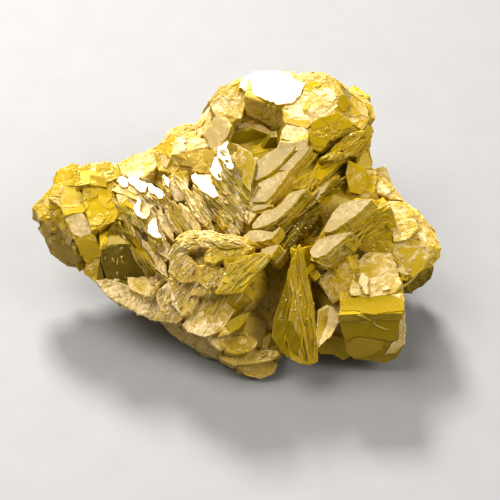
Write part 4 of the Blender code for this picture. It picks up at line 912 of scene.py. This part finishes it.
def broad_faces(surface):
    """The broad faces of the arm, the crest, the crown and its hollow, the block, the wedge, the leaf and
    the right-hand mass, and a dark strip that paints the shadow in the hollow."""
    crystals = Crystals("broad_faces", surface, 15)
    for name, (finish, heading, stand, *outline) in BROAD_FACES.items():
        crystals.kind = GLOSSY if name in BROAD_GLOSSY else PLAIN
        crystals.sheet(outline, finish, stand=stand, thick=0.6, heading=heading, rag=0.09,
                       face=BROAD_FACINGS.get(name))
    # The dark strip in the hollow is painted shadow.
    crystals.sheet(HOLLOW_SHADOW_STRIP, OLIVE_SHADE, stand=0.9, thick=1.5, face=(0, -35))
    for width, *points in RIBBONS:
        crystals.sheet(ribbon(points, width), MIXED, stand=0.24, thick=0.6, rag=0.05)
    return crystals


SILVER_FROM = 0.6                # blades as frosted as this, and not tan, are glossy
FIBRE_TURN = 7                   # how many degrees a blade strays from its line, as a spread
FINISH_SPREAD = 0.2              # how far the finish of one small crystal strays from its neighbours'
# How far the blades spread, how many, their length, width and finish, and the line along which they lie.
RUNS = (
    (0.8, 90, 2, 0.28, (0.75, 0.1, 0.3), (-11.6, -2.4), (-10.6, -0.2), (-9, 1.2), (-6.8, 1.9), (-4, 1.4),
     (-1, 0.6)),
    (0.7, 45, 1.6, 0.26, (0.6, 0.1, 0.5), (-10.8, -3.4), (-9.6, -1.4), (-8, -0.3), (-5.6, 0.3)),
    (0.9, 40, 3.6, 0.3, (0.35, 0.25, 0), (11, 1.4), (14, 3), (17, 5), (19.4, 6.4)),
    (0.6, 36, 3, 0.26, (0.35, 0.35, 0.1), (8.6, -1.8), (10.6, -2), (13.4, -0.2), (15.8, 2.2)),
    (1.1, 40, 3.2, 0.4, (0.35, 0.3, 0), (-17.6, 4.6), (-15.8, 0.8), (-13.6, -3)),
    (1.2, 30, 2.6, 0.5, (0.4, 0.15, 0), (-19.6, 8.2), (-17.6, 6.4), (-15.4, 4.6)),
    (1, 40, 3.4, 0.4, (0.1, 0.8, 0.1), (3.6, 2.6), (6, 5), (9, 7.6), (12.4, 9.6)),
    (1.2, 44, 3.4, 0.4, (0.3, 0.1, 0), (5.6, 8.2), (8, 10.2), (10.4, 12), (13.4, 13.6)),
    (2, 80, 2.6, 0.5, (0.4, 0.1, 0), (-3.4, -6.2), (-1.6, -3.4), (1.6, -0.8)),
    (2.4, 70, 2.4, 0.35, (0.55, 0.05, 0.6), (-9.6, -8.6), (-6.4, -3.2)),
    (1.2, 40, 2, 0.4, (0.65, 0.05, 0.5), (-13, -7.6), (-11.6, -4.6)),
    (1.6, 50, 2.4, 0.4, (0.45, 0.1, 0.3), (-6, -8.4), (-4.4, -5.6), (-3, -3)),
    (1.3, 34, 3.2, 0.3, (0.3, 0.3, 0), (6.4, -0.6), (6.8, -4), (7.4, -9), (7.6, -13.4)),
    (2.6, 90, 2.4, 0.3, (0.95, 0.1, 0), (-15.6, 8.2), (-11.6, 1.8)),
    (2.2, 80, 2.4, 0.3, (0.9, 0.15, 0), (-10.8, 9.2), (-6.6, 2.2)),
    (1.6, 60, 2.2, 0.3, (0.8, 0.3, 0), (-7.4, 8.4), (-2.6, 2.2)),
)


def fibres(surface):
    """Fine blades that run round the arch in front, along the petals' hems, over the left fan, down the
    left arm's inner side and down the leaf."""
    crystals = Crystals("fibres", surface, 16)
    dice = crystals.dice
    for spread, count, length, width, finish, *line in RUNS:
        line = [Vector(p) for p in line]
        crystals.kind = PLAIN if finish[0] < SILVER_FROM or finish[2] else GLOSSY
        for _ in range(count):
            spot = dice.uniform(0, len(line) - 1.001)
            a, b = line[int(spot)], line[int(spot) + 1]
            run = (b - a).normalized()
            turn = math.radians(dice.gauss(0, FIBRE_TURN))
            run = Vector((run.x * math.cos(turn) - run.y * math.sin(turn),
                          run.x * math.sin(turn) + run.y * math.cos(turn)))
            middle = a.lerp(b, spot % 1) + Vector((-run.y, run.x)) * dice.uniform(-spread, spread)
            half = run * length * dice.uniform(0.35, 0.6)
            own = varied(finish, lambda: dice.gauss(0, FINISH_SPREAD))
            crystals.blade(middle - half, middle + half, width * dice.uniform(0.7, 1.4), own, rag=0.03,
                           stand=dice.uniform(0.08, 0.28), thick=0.5, roll=dice.uniform(-0.4, 0.1))
    return crystals


# Across, up, reach and how many.
SPARK_PATCHES = (
    (7.5, 4, 4, 80), (-4, -2, 5, 60), (18, -1, 5, 40), (-12, 5, 5, 60), (2.5, -5.5, 2.5, 30),
    (-18, -2, 2.5, 12), (12, -3, 3, 20), (6.5, -8, 3, 30),
)
SPARK_SHAPE = ((-1, -0.4), (0.3, -0.7), (1, 0.4), (-0.2, 0.6))
SPARK_SPREAD = 6                 # how many degrees a spark strays from the face that mirrors the lamp


def sparks(surface):
    """Tiny level crystals that glitter on the dark vanes, the front, the right-hand mass and the crest."""
    # Their near-white finish partly paints the glitter that the lamp makes on them.
    crystals = Crystals("sparks", surface, 17, GLOSSY)
    dice = crystals.dice
    for across, up, reach, count in SPARK_PATCHES:
        for _ in range(count):
            spot = scattered(across, up, reach, dice)
            size = dice.uniform(0.06, 0.19)
            outline = [spot + Vector((size * a, size * b)) for a, b in SPARK_SHAPE]
            face = [angle + dice.gauss(0, SPARK_SPREAD) for angle in LAMP_FACE]
            crystals.sheet(outline, RIME_AND_GLINT, stand=0.22, thick=0.5, rag=0, face=face)
    return crystals


CHIP_LATH = ((-1, 0.2), (-0.6, 1), (0.6, 0.9), (1, 0), (0.5, -1), (-0.7, -0.8))
CHIP_COVERS = {PLAIN: 0.6, DULL: 0.25}      # how much of its place the chips would cover, laid side by side
CHIP_STANDS = {PLAIN: 0.22, DULL: 0.12}     # how far a chip stands out at most
CHIP_REACH = 0.9                 # how near the rim of their place the chips go
CHIP_SHOWS = 0.3                 # a face that shows less than this to the viewer bears no chips
CHIP_TILT = 1.5                  # how much more the chips tilt than the plates do


def chip_outline(habit, spot, dice):
    """A small rhomb or a pointed lath, about as large as the grains of its habit."""
    length, width = (side * dice.uniform(0.6, 1.3) for side in (habit.long, habit.short))
    heading = math.radians(habit.heading) + dice.uniform(-1, 1) * HEADING_WANDER
    along = heading_vector(heading) * length / 2
    side = Vector((-math.sin(heading), math.cos(heading))) * width / 2
    lean = dice.choice((-0.35, 0.35)) * width / length
    rhomb = ((-1 - lean, 1), (1 - lean, 1), (1 + lean, -1), (-1 + lean, -1))
    shape = CHIP_LATH if dice.random() < habit.point else rhomb
    return [spot + along * a + side * b for a, b in shape]


def chips(surface):
    """Small crystals that stand on the rough places, each in the habit of its place."""
    crystals = Crystals("chips", surface, 14, lip_highlight=0.1)
    dice = crystals.dice
    for habit in HABITS:
        if habit.relief < CALM:
            continue
        crystals.kind = DULL if habit.finish[0] > DULL_FROM else PLAIN
        slope = math.tan(math.radians(habit.tilt)) * CHIP_TILT
        count = CHIP_COVERS[crystals.kind] * math.pi * habit.reach ** 2 / (habit.long * habit.short)
        for _ in range(round(count)):
            spot = scattered(habit.across, habit.up, habit.reach * CHIP_REACH, dice)
            outline = chip_outline(habit, spot, dice)
            place, normal = crystals.ground(*spot)
            if place is None or normal.z < CHIP_SHOWS:
                continue
            plane = (spot, place.z, *(part / normal.z + dice.gauss(0, slope) for part in normal.xy))
            if not crystals.bears(outline, plane):
                continue
            finish = varied(habit.finish, lambda: dice.gauss(0, FINISH_SPREAD))
            crystals.sheet(outline, finish, stand=dice.uniform(0.02, CHIP_STANDS[crystals.kind]), thick=0.6,
                           rag=0.03, heading=habit.heading, plane=plane)
    return crystals


DRESSES = (bright_faces, left_feather, right_vanes, broad_faces, fibres, sparks, chips)


# ------------------------ shader arithmetic


class Socket:
    """An output of a shader node that takes part in Python arithmetic."""

    def __init__(self, finish, output):
        self.finish, self.output = finish, output

    def math(self, operation, *values):
        return self.finish.node("ShaderNodeMath", {"operation": operation}, dict(enumerate(values)))

    def __add__(self, other):
        return self.math("ADD", self, other)

    def __sub__(self, other):
        return self.math("SUBTRACT", self, other)

    def __rsub__(self, other):
        return self.math("SUBTRACT", other, self)

    def __mul__(self, other):
        return self.math("MULTIPLY", self, other)

    def __pow__(self, other):
        return self.math("POWER", self, other)

    __radd__, __rmul__ = __add__, __mul__

    def clamped(self):
        return self.finish.node("ShaderNodeClamp", {}, {0: self})


class Finish:
    """A material whose nodes are made one by one, from their type, their settings and their sockets."""

    def __init__(self, name):
        self.material = bpy.data.materials.new(name)
        self.material.use_nodes = True
        self.tree = self.material.node_tree
        self.shader = self.tree.nodes["Principled BSDF"]

    def fill(self, node, sockets):
        """Links or sets the node's inputs."""
        for key, value in sockets.items():
            if isinstance(value, Socket):
                self.tree.links.new(value.output, node.inputs[key])
            else:
                node.inputs[key].default_value = value

    def node(self, kind, settings, sockets, output=0):
        """One output of a new node."""
        node = self.tree.nodes.new(kind)
        for key, value in settings.items():
            setattr(node, key, value)
        self.fill(node, sockets)
        return Socket(self, node.outputs[output])

    def parts(self, colour):
        """The three parts of a colour."""
        first = self.node("ShaderNodeSeparateColor", {}, {0: colour})
        return [Socket(self, output) for output in first.output.node.outputs]

    def principled(self, **sockets):
        """The material, once its shader has these sockets, named with _ in place of each space."""
        self.fill(self.shader, {key.replace("_", " "): value for key, value in sockets.items()})
        return self.material

    def mix(self, share, first, second):
        """The first colour where the share is 0, and the second where it is 1."""
        return self.node("ShaderNodeMix", {"data_type": "RGBA"}, {0: share, 6: first, 7: second}, 2)

    def place(self):
        """The place in metres in the piece's own axes."""
        return self.node("ShaderNodeTexCoord", {}, {}, 3)

    def noise(self, place, scale, detail, roughness=0.5):
        return self.node("ShaderNodeTexNoise", {}, {"Vector": place, "Scale": scale, "Detail": detail,
                                                    "Roughness": roughness, "Distortion": 0.0})


GOLD = (0.54, 0.362, 0.002, 1)
DEEP_GOLD = (0.32, 0.212, 0.001, 1)
OLIVE = (0.09, 0.060, 0.0005, 1)
FROST = (0.90, 0.73, 0.46, 1)
TAN = (0.56, 0.39, 0.14, 1)
CLOUDS, SPECKS, GRIT = 260, 1500, 4500      # how many waves of each noise go into a metre
STREAKS = (0.35, 3.0, 1.0)                  # how dense the streaks are along, across and into the grain


def siderite(name, gloss, depth, dulling, gritty):
    """Greenish gold crystal: glassy olive where it is clear, cream where it is frosted, tan where it is
    fibrous. The gloss is the tint of what it mirrors, and the depth in metres is how far light spreads in
    it. The dulling is added to its roughness, and gritty is how much its frost breaks up into grains."""
    finish = Finish(name)
    place = finish.place()
    frost, olive, tan = finish.parts(finish.node("ShaderNodeAttribute", {"attribute_name": "finish"}, {}))
    grain = finish.node("ShaderNodeAttribute", {"attribute_name": "grain"}, {}, 1)
    lengthwise = finish.node("ShaderNodeMapping", {}, {"Vector": grain, "Scale": STREAKS})
    cloud = finish.noise(place, CLOUDS, 5.0, 0.6)
    fine = finish.noise(place, SPECKS, 6.0, 0.65)
    grit = finish.noise(place, GRIT, 2.0, 0.6)
    streak = finish.noise(lengthwise, 1.0, 5.0, 0.6)
    frosting = (frost * 1.45 - 0.85 + (cloud - 0.5) * 1.1 + (fine - 0.5) * 1.3 + (streak - 0.5)
                + (grit - 0.5) * gritty).clamped()
    clear = (olive * 1.1 + (cloud - 0.5) * 0.4 + (streak - 0.5) * 0.6).clamped()
    browning = (tan * 1.1 + (fine - 0.5) * 0.5).clamped()
    colour = finish.mix((cloud * 1.6 - 0.3).clamped(), DEEP_GOLD, GOLD)
    colour = finish.mix(clear * 0.9, colour, OLIVE)
    colour = finish.mix(browning * 0.8, colour, TAN)
    colour = finish.mix(frosting ** 1.3, colour, FROST)
    roughness = (0.24 + dulling + frosting * 0.26 + (fine - 0.5) * 0.14).clamped()
    relief = fine * (0.3 + frosting * 0.7) + streak * 0.8
    bump = finish.node("ShaderNodeBump", {}, {"Strength": 0.25, "Distance": 0.04 * MM, "Height": relief})
    return finish.principled(
        Base_Color=colour, Roughness=roughness, IOR=1.4, Subsurface_Weight=1.0, Subsurface_Scale=depth,
        Subsurface_Radius=(1.0, 0.95, 0.9), Specular_Tint=gloss, Normal=bump)


# Name, gloss, depth, dulling and gritty, in the order of PLAIN, DULL and GLOSSY.
FINISHES = (
    ("siderite", (1.0, 0.78, 0.2, 1), 0.2 * MM, 0.0, 0.5),
    ("frosted_siderite", (1.0, 0.8, 0.42, 1), 0.3 * MM, 0.15, 0.8),
    ("glossy_siderite", (1.0, 0.95, 0.85, 1), 0.15 * MM, 0.0, 0.2),
)


# ------------------------ the studio


WARM_WHITE = (1.0, 0.98, 0.95)
WORLD_STRENGTH = 0.34
# The face that mirrors each lamp to the viewer, its distance and size in metres, and its power in watts.
LAMPS = {
    "back_panel": ((-11, 47), 0.6, 0.12, 6.5),
    "overhead_panel": ((-14, 22), 0.6, 0.42, 4.6),
    "front_panel": ((24, 8), 0.7, 0.3, 3.4),
}
PALE, PALER = (0.20, 0.198, 0.195, 1), (0.23, 0.228, 0.225, 1)
FLOOR_GRAIN = 180                # how many waves of its noise go into a metre
FLOOR_HALF = 2                   # metres
CAMERA_DISTANCE = 0.5
FRAME_WIDTH = 0.07
SENSOR = 36.0


def lamp(name, glint, distance, size, power):
    """A soft square lamp where crystal faces of this turn and tip mirror it to the viewer."""
    mirror = FROM_FACE @ facing(*glint)
    towards = (2 * mirror.dot(FACE_OUT) * mirror - FACE_OUT).normalized()
    light = bpy.data.lights.new(name, "AREA")
    light.shape, light.size, light.energy, light.color = "SQUARE", size, power, WARM_WHITE
    made = bpy.data.objects.new(name, light)
    made.location = FACE_ORIGIN * MM + towards * distance
    made.rotation_euler = towards.to_track_quat("Z", "Y").to_euler()
    bpy.context.scene.collection.objects.link(made)


def studio():
    """A wide pale floor, three soft lamps and a faint even light from all round."""
    finish = Finish("pale_floor")
    shade = finish.mix(finish.noise(finish.place(), FLOOR_GRAIN, 4.0), PALE, PALER)
    floor_mesh = bpy.data.meshes.new("floor")
    corners = [(FLOOR_HALF * a, FLOOR_HALF * b, 0) for a, b in ((-1, -1), (1, -1), (1, 1), (-1, 1))]
    floor_mesh.from_pydata(corners, [], [(0, 1, 2, 3)])
    floor_mesh.materials.append(finish.principled(Base_Color=shade, Roughness=0.6))
    floor = bpy.data.objects.new("floor", floor_mesh)
    bpy.context.scene.collection.objects.link(floor)
    world = bpy.data.worlds.new("studio")
    bpy.context.scene.world = world
    world.use_nodes = True
    background = world.node_tree.nodes["Background"]
    background.inputs[0].default_value = (*WARM_WHITE, 1)
    background.inputs[1].default_value = WORLD_STRENGTH
    for name, row in LAMPS.items():
        lamp(name, *row)


def camera():
    """A long lens that looks straight at the show face."""
    lens = bpy.data.cameras.new("camera")
    lens.sensor_width, lens.lens = SENSOR, SENSOR * CAMERA_DISTANCE / FRAME_WIDTH
    lens.clip_start, lens.clip_end = 0.01, 10
    made = bpy.data.objects.new("camera", lens)
    made.location = FACE_ORIGIN * MM + FACE_OUT * CAMERA_DISTANCE
    made.rotation_euler = FACE_OUT.to_track_quat("Z", "Y").to_euler()
    bpy.context.scene.collection.objects.link(made)
    bpy.context.scene.camera = made
    bpy.context.scene.view_settings.view_transform = "Standard"


def dressed(frame):
    """The cluster's visible pieces in place of its plain solid."""
    finishes = [siderite(*row) for row in FINISHES]
    for made in cluster(frame["nodes"]["siderite_cluster"], finishes):
        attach(made, "root")
        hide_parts("siderite_cluster")


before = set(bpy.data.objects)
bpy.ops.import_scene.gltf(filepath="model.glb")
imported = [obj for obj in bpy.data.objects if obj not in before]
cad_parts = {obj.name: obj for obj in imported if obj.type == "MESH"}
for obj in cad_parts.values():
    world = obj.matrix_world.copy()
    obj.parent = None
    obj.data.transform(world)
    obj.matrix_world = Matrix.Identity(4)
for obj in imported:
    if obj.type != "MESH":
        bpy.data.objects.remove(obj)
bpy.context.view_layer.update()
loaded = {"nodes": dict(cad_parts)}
dressed(loaded)
studio()
camera()
